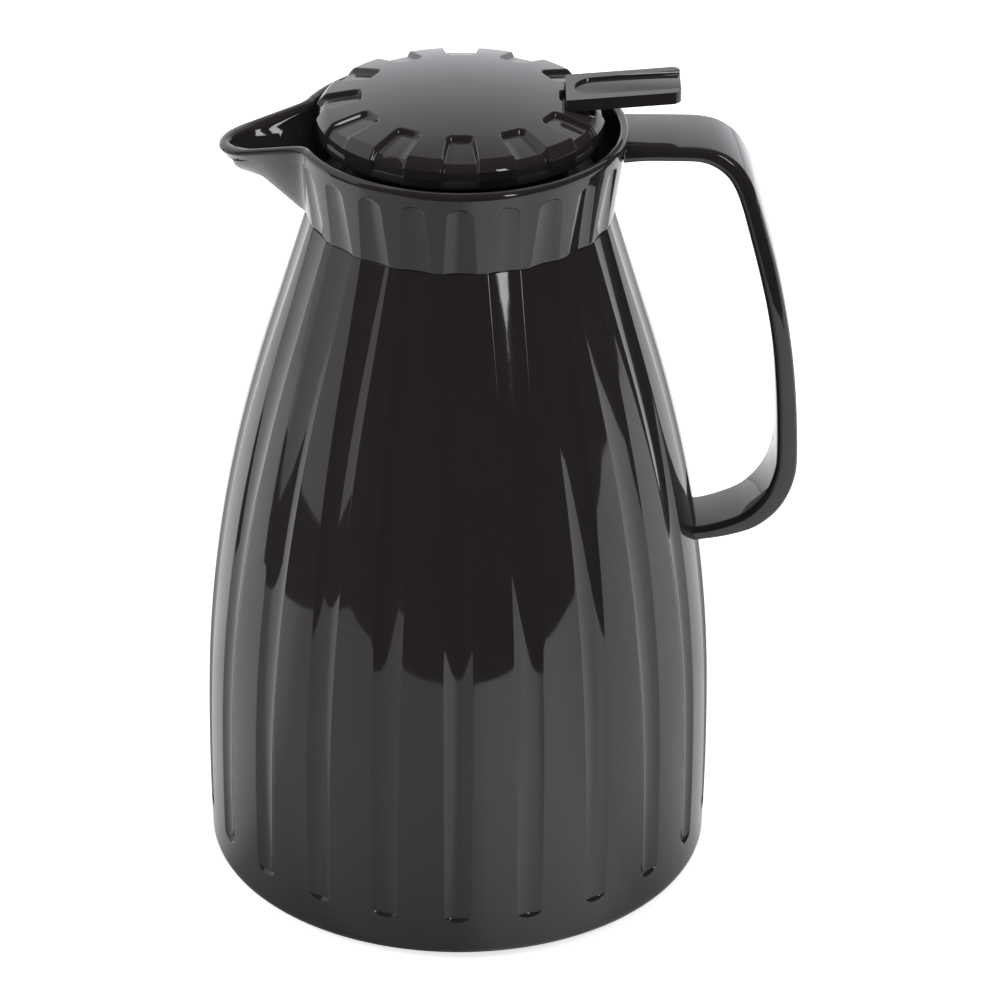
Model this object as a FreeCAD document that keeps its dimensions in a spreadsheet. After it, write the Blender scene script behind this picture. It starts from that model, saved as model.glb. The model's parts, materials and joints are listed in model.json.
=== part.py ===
import FreeCAD, Part
import math
import os
import re
import Sketcher

# Insulated coffee server: fluted black body, pouring collar with a beak, strap handle,
# screw-in stopper lid with a thumb lever that lifts a spring-closed valve.
# Millimetres, +Z up, floor at zero, axis on the origin, handle towards +X, beak towards -X.

doc = FreeCAD.newDocument("CoffeeServer")
Vector = FreeCAD.Vector

# Driving sizes
size_rows = [
    ("body_radius", 75.0, "widest radius of the fluted body"),
    ("waist_height", 208.2, "height of the crease between body and collar"),
    ("waist_radius", 44.0, "outer radius at the crease"),
    ("shell_wall", 3.6, "wall of the body shell, measured across the axis"),
    ("foot_height", 1.5, "how far the rubber foot lifts the shell"),
    ("base_lip", 4.0, "inward lip that frames the base cap"),
    ("base_thickness", 2.9, "thickness of the base cap"),
    ("flute_width", 9.5, "width of a flute at the surface"),
    ("flute_floor", 4.6, "width of a flute at its floor"),
    ("flute_depth", 1.0, "depth of a flute"),
    ("flute_end_length", 2.2, "length of the scooped lower end of a flute"),
    ("flute_end_height", 13.5, "height at which a flute begins"),
    ("collar_flute_height", 21.4, "length of the short flutes above the crease"),
    ("collar_height", 26.3, "height of the collar above the crease"),
    ("rim_radius", 47.8, "outer radius of the pouring rim"),
    ("rim_bead", 2.8, "thickness of the rounded rim"),
    ("collar_wall", 2.8, "wall of the collar above the funnel floor"),
    ("funnel_height", 5.0, "height of the funnel floor above the crease"),
    ("spigot_depth", 5.2, "how far the collar enters the shell"),
    ("neck_bore", 33.0, "bore radius that takes the stopper"),
    ("neck_tube_wall", 3.6, "wall of the neck tube"),
    ("neck_tube_depth", 12.2, "how far the neck tube reaches below the crease"),
    ("seat_radius", 29.4, "inner radius of the sealing step"),
    ("seat_thickness", 3.0, "thickness of the sealing step"),
    ("spout_reach", 68.5, "distance from the axis to the tip of the beak"),
    ("spout_width", 37.2, "width of the beak where it leaves the collar"),
    ("spout_wall", 2.2, "wall of the beak"),
    ("handle_reach", 98.6, "distance from the axis to the outside of the grip"),
    ("handle_top", 232.8, "height of the top of the strap"),
    ("handle_thickness", 5.2, "thickness of the strap"),
    ("handle_width", 25.0, "width of the strap at the top"),
    ("handle_low_width", 20.0, "width of the strap at the lower end"),
    ("tongue_width", 12.0, "width of the tongue that enters the collar"),
    ("tongue_depth", 1.6, "depth of the tongue"),
    ("glass_wall", 1.6, "wall of the glass liner"),
    ("flask_radius", 67.0, "outer radius of the outer glass"),
    ("flask_floor", 13.0, "height of the lowest point of the outer glass"),
    ("flask_lip_height", 194.0, "height of the top of the glass lip"),
    ("lip_thickness", 2.0, "thickness of the joined glass lip"),
    ("vacuum_gap", 4.9, "gap between the glass walls"),
    ("neck_glass_radius", 36.5, "outer radius of the outer glass at the neck"),
    ("neck_vacuum", 2.7, "gap between the glass walls at the neck"),
    ("pad_radius", 5.0, "radius of a spacer pad between the glass walls"),
    ("cushion_radius", 33.0, "radius of the rubber cushion"),
    ("cushion_height", 10.2, "height of the rubber cushion at its rim"),
    ("cup_wall", 3.0, "wall of the cup that holds the cushion"),
    ("foot_radius", 56.0, "radius of the rubber foot pad"),
    ("foot_inset", 1.0, "depth of the recess for the foot pad"),
    ("screw_radius", 1.5, "shank radius of the screws"),
    ("handle_screw_radius", 1.2, "shank radius of the handle screw"),
    ("screw_head_radius", 2.8, "head radius of the screws"),
    ("screw_head_height", 1.4, "head height of the screws"),
    ("base_screw_circle", 62.0, "radius of the circle of the base screws"),
    ("post_radius", 9.4, "radius of the screw posts, which grow out of the wall"),
    ("post_height", 9.0, "height of the screw posts above the base cap"),
    ("lid_top", 241.0, "height of the edge of the lid's domed top"),
    ("lid_crown", 5.0, "rise of the lid's centre over that edge"),
    ("lid_radius", 41.3, "outer radius of the lid"),
    ("lid_dome_radius", 36.7, "radius of the lid's domed top"),
    ("lid_shoulder", 2.8, "height of the lid's rounded shoulder"),
    ("lid_plate", 2.4, "thickness of the lid's top"),
    ("lid_skirt_height", 8.4, "height of the lid's skirt"),
    ("lid_skirt_wall", 1.8, "wall of the lid's skirt"),
    ("lid_step", 0.4, "step between the bands of the skirt"),
    ("notch_tip_radius", 28.35, "distance from the axis to the tip of a grip notch"),
    ("notch_width", 10.6, "width of a grip notch at the rim"),
    ("notch_tip_width", 7.2, "width of a grip notch near its tip"),
    ("notch_depth", 1.6, "depth of a grip notch"),
    ("barrel_radius", 30.8, "outer radius of the stopper barrel"),
    ("barrel_wall", 2.2, "wall of the stopper barrel"),
    ("barrel_floor", 2.5, "thickness of the stopper floor"),
    ("flange_thickness", 2.0, "thickness of the stopper flange"),
    ("bridge_height", 15.4, "height of the bridge plate above the crease"),
    ("bridge_thickness", 2.4, "thickness of the bridge plate"),
    ("guide_radius", 4.4, "outer radius of the stem guide"),
    ("port_radius", 11.0, "radius of the pouring port in the stopper floor"),
    ("port_width", 22.0, "width of the side port of the stopper"),
    ("port_height", 7.4, "height of the side port of the stopper"),
    ("vent_width", 6.0, "width of the air vent of the stopper"),
    ("gasket_height", 2.0, "thickness of the stopper gasket"),
    ("gasket_width", 3.4, "width of the stopper gasket"),
    ("thread_lead", 24.0, "rise of the stopper thread for one turn"),
    ("thread_height", 2.4, "height of a thread rib"),
    ("thread_depth", 1.8, "depth of a thread rib"),
    ("lever_pin_reach", 33.0, "distance from the axis to the lever pin"),
    ("lever_pin_height", 238.5, "height of the lever pin"),
    ("lever_pin_radius", 1.2, "radius of the lever pin"),
    ("lever_reach", 62.0, "distance from the axis to the end of the lever"),
    ("lever_inner", 29.6, "distance from the axis to the lever's inner end"),
    ("lever_width", 18.0, "width of the thumb lever"),
    ("lever_height", 245.8, "height of the top of the lever at its inner end"),
    ("lever_rise", 2.8, "rise of the lever's top towards its end"),
    ("lever_plate", 3.6, "thickness of the lever's plate"),
    ("lever_corner", 2.6, "rounding of the lever's outer corners"),
    ("lever_groove_width", 11.0, "width of the thumb groove"),
    ("lever_groove_depth", 0.9, "depth of the thumb groove"),
    ("arm_width", 10.0, "width of the lever's arm"),
    ("arm_height", 229.5, "height of the underside of the lever's arm"),
    ("arm_thickness", 2.5, "thickness of the lever's arm"),
    ("hub_length", 6.4, "length of the lever's hub along the lever"),
    ("stem_radius", 2.0, "radius of the valve stem"),
    ("stem_cap_radius", 5.0, "radius of the cap on the valve stem"),
    ("stem_cap_height", 2.2, "height of the cap on the valve stem"),
    ("valve_radius", 14.0, "radius of the valve disc"),
    ("valve_thickness", 2.5, "thickness of the valve disc"),
    ("seal_height", 1.2, "thickness of the valve seal"),
    ("seal_width", 2.6, "width of the valve seal"),
    ("spring_radius", 5.6, "mean radius of the return spring"),
    ("spring_wire", 0.9, "wire thickness of the return spring"),
    ("slide_clearance", 0.4, "clearance between parts that turn or slide"),
    ("seat_clearance", 0.3, "clearance of seated parts"),
    ("pin_clearance", 0.05, "radial clearance of the lever pin"),
    ("stem_clearance", 0.1, "radial clearance of the stem guide"),
    ("cut_overrun", 2.0, "how far a cutting solid runs past the part"),
]

# Counts
flute_count = 22
notch_count = 12
screw_count = 3
pad_count = 3
thread_starts = 2
spring_half_turns = 11

sizes = doc.addObject("Spreadsheet::Sheet", "Sizes")
for row, (size_name, size_value, size_note) in enumerate(size_rows, start=1):
    sizes.set("A%d" % row, size_name)
    sizes.set("B%d" % row, str(size_value))
    sizes.setAlias("B%d" % row, size_name)
    sizes.set("C%d" % row, size_note)
doc.recompute()
size_names = [row[0] for row in size_rows]
name_pattern = re.compile("[a-z_]+")


def bound(expression):
    """The expression with each size name pointing into the sheet."""
    return name_pattern.sub(
        lambda match: "Sizes." + match.group(0) if match.group(0) in size_names else match.group(0),
        expression,
    )


def value(expression):
    """The number that an expression of size names stands for."""
    return float(sizes.evalExpression(expression))


# Sketching helpers: a corner is (across, up), or (across, up, middle across, middle up)
# when the edge that arrives at the corner is an arc through the middle point.

def pin_point(sketch, geometry, place, across, up):
    """Binds a point of the sketch to two expressions."""
    for kind, expression, axis in (("DistanceX", across, -2), ("DistanceY", up, -1)):
        number = value(expression)
        if number == 0:
            sketch.addConstraint(Sketcher.Constraint("PointOnObject", geometry, place, axis))
            continue
        index = sketch.addConstraint(Sketcher.Constraint(kind, -1, 1, geometry, place, number))
        sketch.setExpression("Constraints[%d]" % index, bound(expression))


def draw_outline(sketch, corners):
    """Draws a closed outline of lines and arcs and binds every corner."""
    places = [Vector(value(corner[0]), value(corner[1]), 0) for corner in corners]
    ends = []
    for index, start in enumerate(places):
        following = corners[(index + 1) % len(corners)]
        finish = places[(index + 1) % len(corners)]
        if len(following) == 2:
            edge = sketch.addGeometry(Part.LineSegment(start, finish), False)
            ends.append((edge, 1, 2))
            continue
        middle = Vector(value(following[2]), value(following[3]), 0)
        turn = (middle - start).cross(finish - middle).z
        if turn > 0:
            edge = sketch.addGeometry(Part.Arc(start, middle, finish), False)
            ends.append((edge, 1, 2))
        else:
            edge = sketch.addGeometry(Part.Arc(finish, middle, start), False)
            ends.append((edge, 2, 1))
        mark = sketch.addGeometry(Part.Point(middle), True)
        sketch.addConstraint(Sketcher.Constraint("PointOnObject", mark, 1, edge))
        pin_point(sketch, mark, 1, following[2], following[3])
    for index, (edge, first, last) in enumerate(ends):
        next_edge, next_first, next_last = ends[(index + 1) % len(ends)]
        sketch.addConstraint(Sketcher.Constraint("Coincident", edge, last, next_edge, next_first))
        pin_point(sketch, edge, first, corners[index][0], corners[index][1])


def new_body(label):
    """An empty body with its label."""
    body = doc.addObject("PartDesign::Body", label)
    body.Label = label
    return body


def new_sketch(body, role, label, lift="0"):
    """A sketch on one of the body's own planes, raised by an expression."""
    plane = [item for item in body.Origin.OriginFeatures if item.Role == role][0]
    sketch = body.newObject("Sketcher::SketchObject", label)
    sketch.AttachmentSupport = [(plane, "")]
    sketch.MapMode = "FlatFace"
    if lift != "0":
        sketch.setExpression("AttachmentOffset.Base.z", bound(lift))
    return sketch


def turned(label, corners):
    """A body turned about the upright axis."""
    body = new_body(label)
    sketch = new_sketch(body, "XZ_Plane", label + "_outline")
    draw_outline(sketch, corners)
    doc.recompute()
    turn = body.newObject("PartDesign::Revolution", label + "_turn")
    turn.Profile = sketch
    turn.ReferenceAxis = (sketch, ["V_Axis"])
    turn.Angle = 360
    sketch.Visibility = False
    doc.recompute()
    return body


def padded(label, role, corners, length, midplane=True, lift="0"):
    """A body padded from an outline."""
    body = new_body(label)
    sketch = new_sketch(body, role, label + "_outline", lift)
    draw_outline(sketch, corners)
    doc.recompute()
    pad = body.newObject("PartDesign::Pad", label + "_pad")
    pad.Profile = sketch
    pad.setExpression("Length", bound(length))
    pad.Midplane = midplane
    sketch.Visibility = False
    doc.recompute()
    return body


def upright_rod(label, radius, bottom, height, across="0", angle=0.0):
    """A cylinder standing at a distance from the axis, at an angle round it."""
    rod = doc.addObject("Part::Cylinder", label)
    rod.setExpression("Radius", bound(radius))
    rod.setExpression("Height", bound(height))
    rod.setExpression("Placement.Base.x", bound("(%s) * cos(%s deg)" % (across, angle)))
    rod.setExpression("Placement.Base.y", bound("(%s) * sin(%s deg)" % (across, angle)))
    rod.setExpression("Placement.Base.z", bound(bottom))
    return rod


def block(label, corner, lengths):
    """A box from its low corner and three lengths, all expressions."""
    box = doc.addObject("Part::Box", label)
    for side, expression in zip(("Length", "Width", "Height"), lengths):
        box.setExpression(side, bound(expression))
    for axis, expression in zip("xyz", corner):
        box.setExpression("Placement.Base." + axis, bound(expression))
    return box


def joined(label, parts):
    """One solid from several."""
    result = doc.addObject("Part::MultiFuse", label)
    result.Shapes = parts
    result.Refine = True
    doc.recompute()
    return result


def cut(label, base, tools):
    """The base with every tool taken away."""
    tool = tools[0]
    if len(tools) > 1:
        tool = doc.addObject("Part::Compound", label + "_tools")
        tool.Links = tools
    result = doc.addObject("Part::Cut", label)
    result.Base = base
    result.Tool = tool
    doc.recompute()
    return result


def fixed(label, shape):
    """A solid that has no sketch of its own."""
    feature = doc.addObject("Part::Feature", label)
    feature.Shape = shape
    return feature


def around(shape, angle):
    """A copy of a shape turned about the upright axis."""
    copy = shape.copy()
    copy.rotate(Vector(0, 0, 0), Vector(0, 0, 1), angle)
    return copy


nodes = {}


def keep(label, feature):
    """Names a finished piece."""
    feature.Label = label
    nodes[label] = feature
    doc.recompute()


# Outline of the body: the wall from the base edge to the crease, as shares of the widest
# radius and of the crease height; the third and fourth values are the middle of each arc.
wall_shares = [
    (0.9939, 0.0211, 0.9770, 0.0110),
    (0.9954, 0.2785, 1.0000, 0.1498),
    (0.8600, 0.6604, 0.9538, 0.4699),
    (0.7041, 0.8601, 0.7887, 0.7608),
]
wall_top_shares = (0.6427, 0.9298)
base_edge_share = 0.9387


def wall_corner(shares, inset):
    """One corner of the wall, moved inwards by an inset."""
    return (
        "body_radius * %s - %s" % (shares[0], inset),
        "waist_height * %s" % shares[1],
        "body_radius * %s - %s" % (shares[2], inset),
        "waist_height * %s" % shares[3],
    )


def wall_top(inset):
    """The crease corner of the wall."""
    return (
        "waist_radius - %s" % inset,
        "waist_height",
        "body_radius * %s - %s" % (wall_top_shares[0], inset),
        "waist_height * %s" % wall_top_shares[1],
    )


def wall_radius(height):
    """Outer radius of the body at a height, from the arcs of its outline."""
    corners = [wall_corner(shares, "0") for shares in wall_shares] + [wall_top("0")]
    start = Vector(value(corners[0][0]), value(corners[0][1]), 0)
    for corner in corners[1:]:
        finish = Vector(value(corner[0]), value(corner[1]), 0)
        middle = Vector(value(corner[2]), value(corner[3]), 0)
        if height <= finish.y or corner is corners[-1]:
            circle = Part.Arc(start, middle, finish).toShape().Curve
            reach = math.sqrt(max(circle.Radius ** 2 - (height - circle.Center.y) ** 2, 0))
            if middle.x > circle.Center.x:
                return circle.Center.x + reach
            return circle.Center.x - reach
        start = finish
    return start.x


# Body shell: one moulded black shell with a lip at the base and screw posts inside
shell_corners = [("body_radius * %s" % base_edge_share, "foot_height")]
shell_corners += [wall_corner(shares, "0") for shares in wall_shares]
shell_corners += [wall_top("0"), ("waist_radius - shell_wall", "waist_height")]
inner_chain = [wall_corner(shares, "shell_wall") for shares in wall_shares] + [wall_top("shell_wall")]
for index in range(len(inner_chain) - 1, 0, -1):
    lower = inner_chain[index - 1]
    upper = inner_chain[index]
    shell_corners.append((lower[0], lower[1], upper[2], upper[3]))
base_bore = "(body_radius * %s - base_lip)" % base_edge_share
shell_corners.append((base_bore, inner_chain[0][1]))
shell_corners.append((base_bore, "foot_height"))
shell_turned = turned("body_shell_turned", shell_corners)

# Flutes: one lofted channel per flute, from horizontal sections that follow the wall;
# the lower end narrows and runs out as a scoop.
end_shares = [(0.0, 0.62, 0.06), (0.35, 0.88, 0.45), (0.7, 0.97, 0.85)]
climb_shares = [0.0, 0.11, 0.22, 0.33, 0.44, 0.55, 0.66, 0.77, 0.88, 1.0]
low_width_share = 0.80
side_run_share = 0.3
crease_lean = 0.3


def channel_section(radius, height, top_width, floor_width, depth):
    """A closed section facing -Y: a channel whose edges lie on the wall, under a raised roof."""
    side = math.sqrt(radius ** 2 - (top_width / 2) ** 2)
    bed = math.sqrt(radius ** 2 - (floor_width / 2) ** 2) - depth
    out = top_width / 2 + (top_width - floor_width) / 2 * side_run_share
    brim = side + (side - bed) * side_run_share
    corners = [
        Vector(-out, -brim, height),
        Vector(0, -radius - overrun, height),
        Vector(out, -brim, height),
        Vector(floor_width / 2, -bed, height),
        Vector(-floor_width / 2, -bed, height),
    ]
    return Part.makePolygon(corners + [corners[0]])


flute_width = value("flute_width")
flute_floor = value("flute_floor")
flute_depth = value("flute_depth")
overrun = value("cut_overrun")
low = value("flute_end_height")
high = value("waist_height")
scoop = value("flute_end_length")
sections = []
for rise_share, width_share, depth_share in end_shares:
    height = low + scoop * rise_share
    wide = flute_width * low_width_share * width_share
    sections.append(channel_section(
        wall_radius(height), height, wide, wide * flute_floor / flute_width,
        flute_depth * depth_share,
    ))
for climb in climb_shares:
    height = low + scoop + (high + overrun - low - scoop) * climb
    swell = low_width_share + (1 - low_width_share) * climb
    reach = wall_radius(min(height, high)) - max(height - high, 0) * crease_lean
    sections.append(channel_section(
        reach, height, flute_width * swell, flute_floor * swell, flute_depth,
    ))
flute = Part.makeLoft(sections, True, True)
flute_tools = fixed("body_flutes", Part.makeCompound(
    [around(flute, 360.0 / flute_count * index) for index in range(flute_count)]
))
shell_fluted = cut("body_shell_fluted", shell_turned, [flute_tools])

# Screw posts of the shell and their pilot holes, the seat of the handle screw
post_parts = []
post_holes = []
for index in range(screw_count):
    angle = 360.0 / screw_count * index + 180.0 / screw_count
    post = upright_rod(
        "post_%d" % index, "post_radius", "foot_height + base_thickness",
        "post_height", "base_screw_circle", angle,
    )
    post_parts.append(post)
    post_holes.append(upright_rod(
        "post_hole_%d" % index, "screw_radius", "foot_height + base_thickness - cut_overrun",
        "post_height", "base_screw_circle", angle,
    ))
handle_join_height = "(handle_top - handle_thickness) * 0.4722"
handle_screw_hole = doc.addObject("Part::Cylinder", "handle_screw_hole")
handle_screw_hole.setExpression("Radius", bound("handle_screw_radius"))
handle_screw_hole.setExpression("Height", bound("body_radius"))
handle_screw_hole.setExpression("Placement.Base.z", bound(handle_join_height))
handle_screw_hole.Placement.Rotation = FreeCAD.Rotation(Vector(0, 1, 0), 90)
shell_posted = joined("body_shell_posted", [shell_fluted] + post_parts)
keep("body_shell", cut("body_shell", shell_posted, post_holes + [handle_screw_hole]))

# Base cap, held by three screws, with a cup for the cushion and a recess for the foot pad
cap_top = "foot_height + base_thickness"
base_cap_turned = turned("base_cap_turned", [
    ("0", "foot_height + foot_inset"),
    ("foot_radius", "foot_height + foot_inset"),
    ("foot_radius", "foot_height"),
    (base_bore + " - seat_clearance", "foot_height"),
    (base_bore + " - seat_clearance", cap_top),
    ("cushion_radius + cup_wall", cap_top),
    ("cushion_radius + cup_wall", "flask_floor - base_thickness"),
    ("cushion_radius", "flask_floor - base_thickness"),
    ("cushion_radius", cap_top),
    ("0", cap_top),
])
cap_holes = []
screw_parts = []
for index in range(screw_count):
    angle = 360.0 / screw_count * index + 180.0 / screw_count
    cap_holes.append(upright_rod(
        "cap_hole_%d" % index, "screw_radius + seat_clearance", "foot_height - cut_overrun",
        "base_thickness + cut_overrun * 2", "base_screw_circle", angle,
    ))
    cap_holes.append(upright_rod(
        "cap_sink_%d" % index, "screw_head_radius + seat_clearance", "foot_height - cut_overrun",
        "cut_overrun + screw_head_height", "base_screw_circle", angle,
    ))
    screw_parts.append(upright_rod(
        "base_screw_shank_%d" % index, "screw_radius", "foot_height",
        "post_height", "base_screw_circle", angle,
    ))
    screw_parts.append(upright_rod(
        "base_screw_head_%d" % index, "screw_head_radius", "foot_height",
        "screw_head_height", "base_screw_circle", angle,
    ))
keep("base_cap", cut("base_cap", base_cap_turned, cap_holes))
keep("base_screws", joined("base_screws", screw_parts))
keep("foot_pad", turned("foot_pad", [
    ("0", "0"),
    ("foot_radius", "0"),
    ("foot_radius", "foot_height + foot_inset"),
    ("0", "foot_height + foot_inset"),
]))

# Glass liner: two blown walls joined at the lip. Radii are shares of the liner radius and
# heights are shares of the lip height; the last two values point towards the inside.
glass_shares = [
    ((0.627, 0.0902), (0.358, 0.0711), (0.10, 1.0)),
    ((1.000, 0.2474), (0.903, 0.1443), (1.0, 0.0)),
    ((0.9925, 0.3866), (1.0045, 0.3093), (1.0, 0.0)),
    ((0.8507, 0.7062), (0.9642, 0.5412), (1.0, 0.0)),
    ((0.6269, 0.9124), (0.7537, 0.8144), (1.0, 0.0)),
]
shoulder_shares = (0.5672, 0.9485)


def glass_chain(radius, floor, neck, inset, level):
    """Corners of one glass surface from the floor centre to the neck, moved in by an inset."""
    top = "flask_lip_height - lip_thickness"
    tall = "(%s - (%s))" % (top, floor)
    chain = [("0", "%s + %s" % (floor, inset))]
    low_share = 0.067
    for index, (corner, middle, inward) in enumerate(glass_shares):
        climb = "(%s) * %s" % (tall, round((corner[1] - low_share) / (1 - low_share), 4))
        middle_climb = "(%s) * %s" % (tall, round((middle[1] - low_share) / (1 - low_share), 4))
        middle_inset = (0.0, 1.0) if index == 0 else (0.8, 0.6) if index == 1 else (1.0, 0.0)
        chain.append((
            "(%s) * %s - (%s) * %s" % (radius, corner[0], inset, inward[0]),
            "%s + %s + (%s) * %s" % (floor, climb, inset, inward[1]),
            "(%s) * %s - (%s) * %s" % (radius, middle[0], inset, middle_inset[0]),
            "%s + %s + (%s) * %s" % (floor, middle_climb, inset, middle_inset[1]),
        ))
    shoulder = "(%s) * %s" % (tall, round((0.9959 - low_share) / (1 - low_share), 4))
    bend = "(%s) * %s" % (tall, round((shoulder_shares[1] - low_share) / (1 - low_share), 4))
    chain.append((
        "%s - %s" % (neck, inset),
        "%s + %s" % (floor, shoulder),
        "(%s) * %s - %s" % (radius, shoulder_shares[0], inset),
        "%s + %s" % (floor, bend),
    ))
    chain.append(("%s - %s" % (neck, inset), level))
    return chain


def backwards(chain):
    """The same corners in the other direction."""
    result = [chain[-1][:2]]
    for index in range(len(chain) - 1, 0, -1):
        if len(chain[index]) == 4:
            result.append(chain[index - 1][:2] + chain[index][2:])
        else:
            result.append(chain[index - 1][:2])
    return result


lip_level = "flask_lip_height - lip_thickness"
outer_args = ("flask_radius", "flask_floor", "neck_glass_radius")
outer_glass = glass_chain(*outer_args, "0", lip_level)
outer_glass += backwards(glass_chain(*outer_args, "glass_wall", lip_level))
keep("flask_outer", turned("flask_outer", outer_glass))
inner_radius = "(flask_radius - glass_wall - vacuum_gap)"
inner_floor = "(flask_floor + glass_wall + vacuum_gap)"
inner_neck = "(neck_glass_radius - glass_wall - neck_vacuum)"
inner_args = (inner_radius, inner_floor, inner_neck)
inner_glass = glass_chain(*inner_args, "0", lip_level)
inner_glass += [("neck_glass_radius", lip_level), ("neck_glass_radius", "flask_lip_height")]
inner_glass += backwards(glass_chain(*inner_args, "glass_wall", "flask_lip_height"))
keep("flask_inner", turned("flask_inner", inner_glass))

# Spacer pads between the glass walls, cut to the glass on both sides
pad_parts = []
for index in range(pad_count):
    rod = Part.makeCylinder(
        value("pad_radius"), value("glass_wall + vacuum_gap"),
        Vector(value(inner_radius) - value("glass_wall") / 2, 0, value("flask_lip_height * 0.2474")),
        Vector(1, 0, 0),
    )
    pad_parts.append(around(rod, 360.0 / pad_count * index + 90.0))
pads = fixed("flask_pads_rods", Part.makeCompound(pad_parts))
keep("flask_pads", cut("flask_pads", pads, [nodes["flask_outer"], nodes["flask_inner"]]))

# Rubber cushion under the liner, shaped to the glass it carries
cushion_block = upright_rod("cushion_block", "cushion_radius - seat_clearance", cap_top, "cushion_height")
keep("flask_cushion", cut("flask_cushion", cushion_block, [
    nodes["flask_outer"],
    upright_rod("cushion_relief", "cushion_radius * 0.6", cap_top + " - cut_overrun", "flask_lip_height"),
]))

# Collar: pouring ring with its rim and beak. Neck tube: a moulding of its own, with the
# funnel floor, the sealing step and the thread ribs, set into the collar and the shell
rim_height = "(waist_height + collar_height)"
rim_inner = "(rim_radius - rim_bead)"
tube_low = "(waist_height - neck_tube_depth)"
funnel_level = "(waist_height + funnel_height)"
funnel_edge = "(waist_radius - collar_wall)"
collar_turned = turned("collar_turned", [
    ("waist_radius", "waist_height"),
    ("rim_radius", rim_height + " - rim_bead / 2",
     "(waist_radius + rim_radius) / 2 - collar_wall * 0.1", "waist_height + collar_height * 0.5"),
    (rim_inner, rim_height + " - rim_bead / 2", "rim_radius - rim_bead / 2", rim_height),
    (funnel_edge, funnel_level + " + collar_wall"),
    (funnel_edge, "waist_height"),
])
funnel_top = [
    (funnel_edge, funnel_level + " + collar_wall"),
    ("neck_bore + collar_wall", funnel_level,
     "waist_radius - collar_wall * 1.9", funnel_level + " + collar_wall * 0.25"),
]
neck_turned = turned("neck_turned", funnel_top + [
    ("neck_bore", funnel_level + " - collar_wall * 0.6"),
    ("neck_bore", tube_low + " + seat_thickness"),
    ("seat_radius", tube_low + " + seat_thickness"),
    ("seat_radius", tube_low),
    ("neck_bore + neck_tube_wall", tube_low),
    ("neck_bore + neck_tube_wall", "waist_height - spigot_depth"),
    ("waist_radius - shell_wall - seat_clearance", "waist_height - spigot_depth"),
    ("waist_radius - shell_wall - seat_clearance", "waist_height"),
    (funnel_edge, "waist_height"),
])

# Short flutes of the collar, mitred on the body's at the crease; none at beak or handle
collar_flute_shares = [(-0.10, 1.0, 1.0), (0.0, 1.0, 1.0), (0.35, 0.93, 1.0), (0.65, 0.86, 1.0),
                       (0.86, 0.80, 0.98), (0.94, 0.74, 0.85), (0.985, 0.62, 0.45), (1.0, 0.40, 0.08)]
sections = []
for climb, width_share, depth_share in collar_flute_shares:
    height = high + value("collar_flute_height") * climb
    share = value("collar_flute_height") * climb / value("collar_height")
    reach = value("waist_radius") + (value("rim_radius") - value("waist_radius")) * share
    reach -= value("collar_wall") * 0.4 * share * (1 - share)
    wide = flute_width * width_share
    sections.append(channel_section(
        reach, height, wide, wide * flute_floor / flute_width, flute_depth * depth_share,
    ))
collar_flute = Part.makeLoft(sections, True, True)
plain_half_angle = 22.0
collar_flutes = []
for index in range(flute_count):
    angle = 360.0 / flute_count * index - 90.0
    from_handle = abs((angle + 180.0) % 360.0 - 180.0)
    if from_handle > plain_half_angle and 180.0 - from_handle > plain_half_angle:
        collar_flutes.append(around(collar_flute, angle + 90.0))
collar_flute_tools = fixed("collar_flutes", Part.makeCompound(collar_flutes))

# Beak: V-shaped sections from inside the collar to the blunt tip; each line holds the
# distance from the axis, half width, lip height and keel height as shares.
beak_shares = [
    (0.590, 0.500, 0.9985, 0.006, 0.20),
    (0.650, 0.455, 0.9980, 0.006, 0.20),
    (0.700, 0.405, 0.9965, 0.095, 0.18),
    (0.770, 0.357, 0.9925, 0.255, 0.17),
    (0.836, 0.312, 0.9885, 0.400, 0.17),
    (0.900, 0.270, 0.9855, 0.440, 0.16),
    (0.945, 0.225, 0.9830, 0.520, 0.16),
    (0.980, 0.150, 0.9800, 0.660, 0.12),
    (1.000, 0.060, 0.9770, 0.740, 0.05),
]


def beak_section(shares, wall, lift):
    """One upright section of the beak, inset by a wall; lift raises the open top."""
    across = -value("spout_reach") * shares[0]
    half = max(value("spout_width") * shares[1] - wall, wall * 0.2)
    lip = value(rim_height) * shares[2] + lift
    keel = value("waist_height") + value("collar_height") * shares[3] + wall * 1.35
    nose = half * shares[4]
    shoulder = keel + nose * 0.6
    corners = [
        Vector(across, -half, lip),
        Vector(across, half, lip),
        Vector(across, nose, shoulder),
        Vector(across, nose * 0.4, keel),
        Vector(across, -nose * 0.4, keel),
        Vector(across, -nose, shoulder),
    ]
    return Part.makePolygon(corners + [corners[0]])


beak_outer = fixed("beak_outer", Part.makeLoft([beak_section(s, 0.0, 0.0) for s in beak_shares], True, True))
beak_wall = value("spout_wall")
inner_beak_shares = [(0.40,) + beak_shares[0][1:]] + beak_shares[:-2]
beak_inner = fixed("beak_inner", Part.makeLoft(
    [beak_section(s, beak_wall, overrun) for s in inner_beak_shares], True, True))
funnel_keeper = upright_rod("funnel_keeper", "rim_radius * 2", tube_low, "neck_tube_depth + funnel_height")
beak_channel = cut("beak_channel", beak_inner, [funnel_keeper])

# Thread ribs of the neck and lugs of the stopper, on the same rising line


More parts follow.
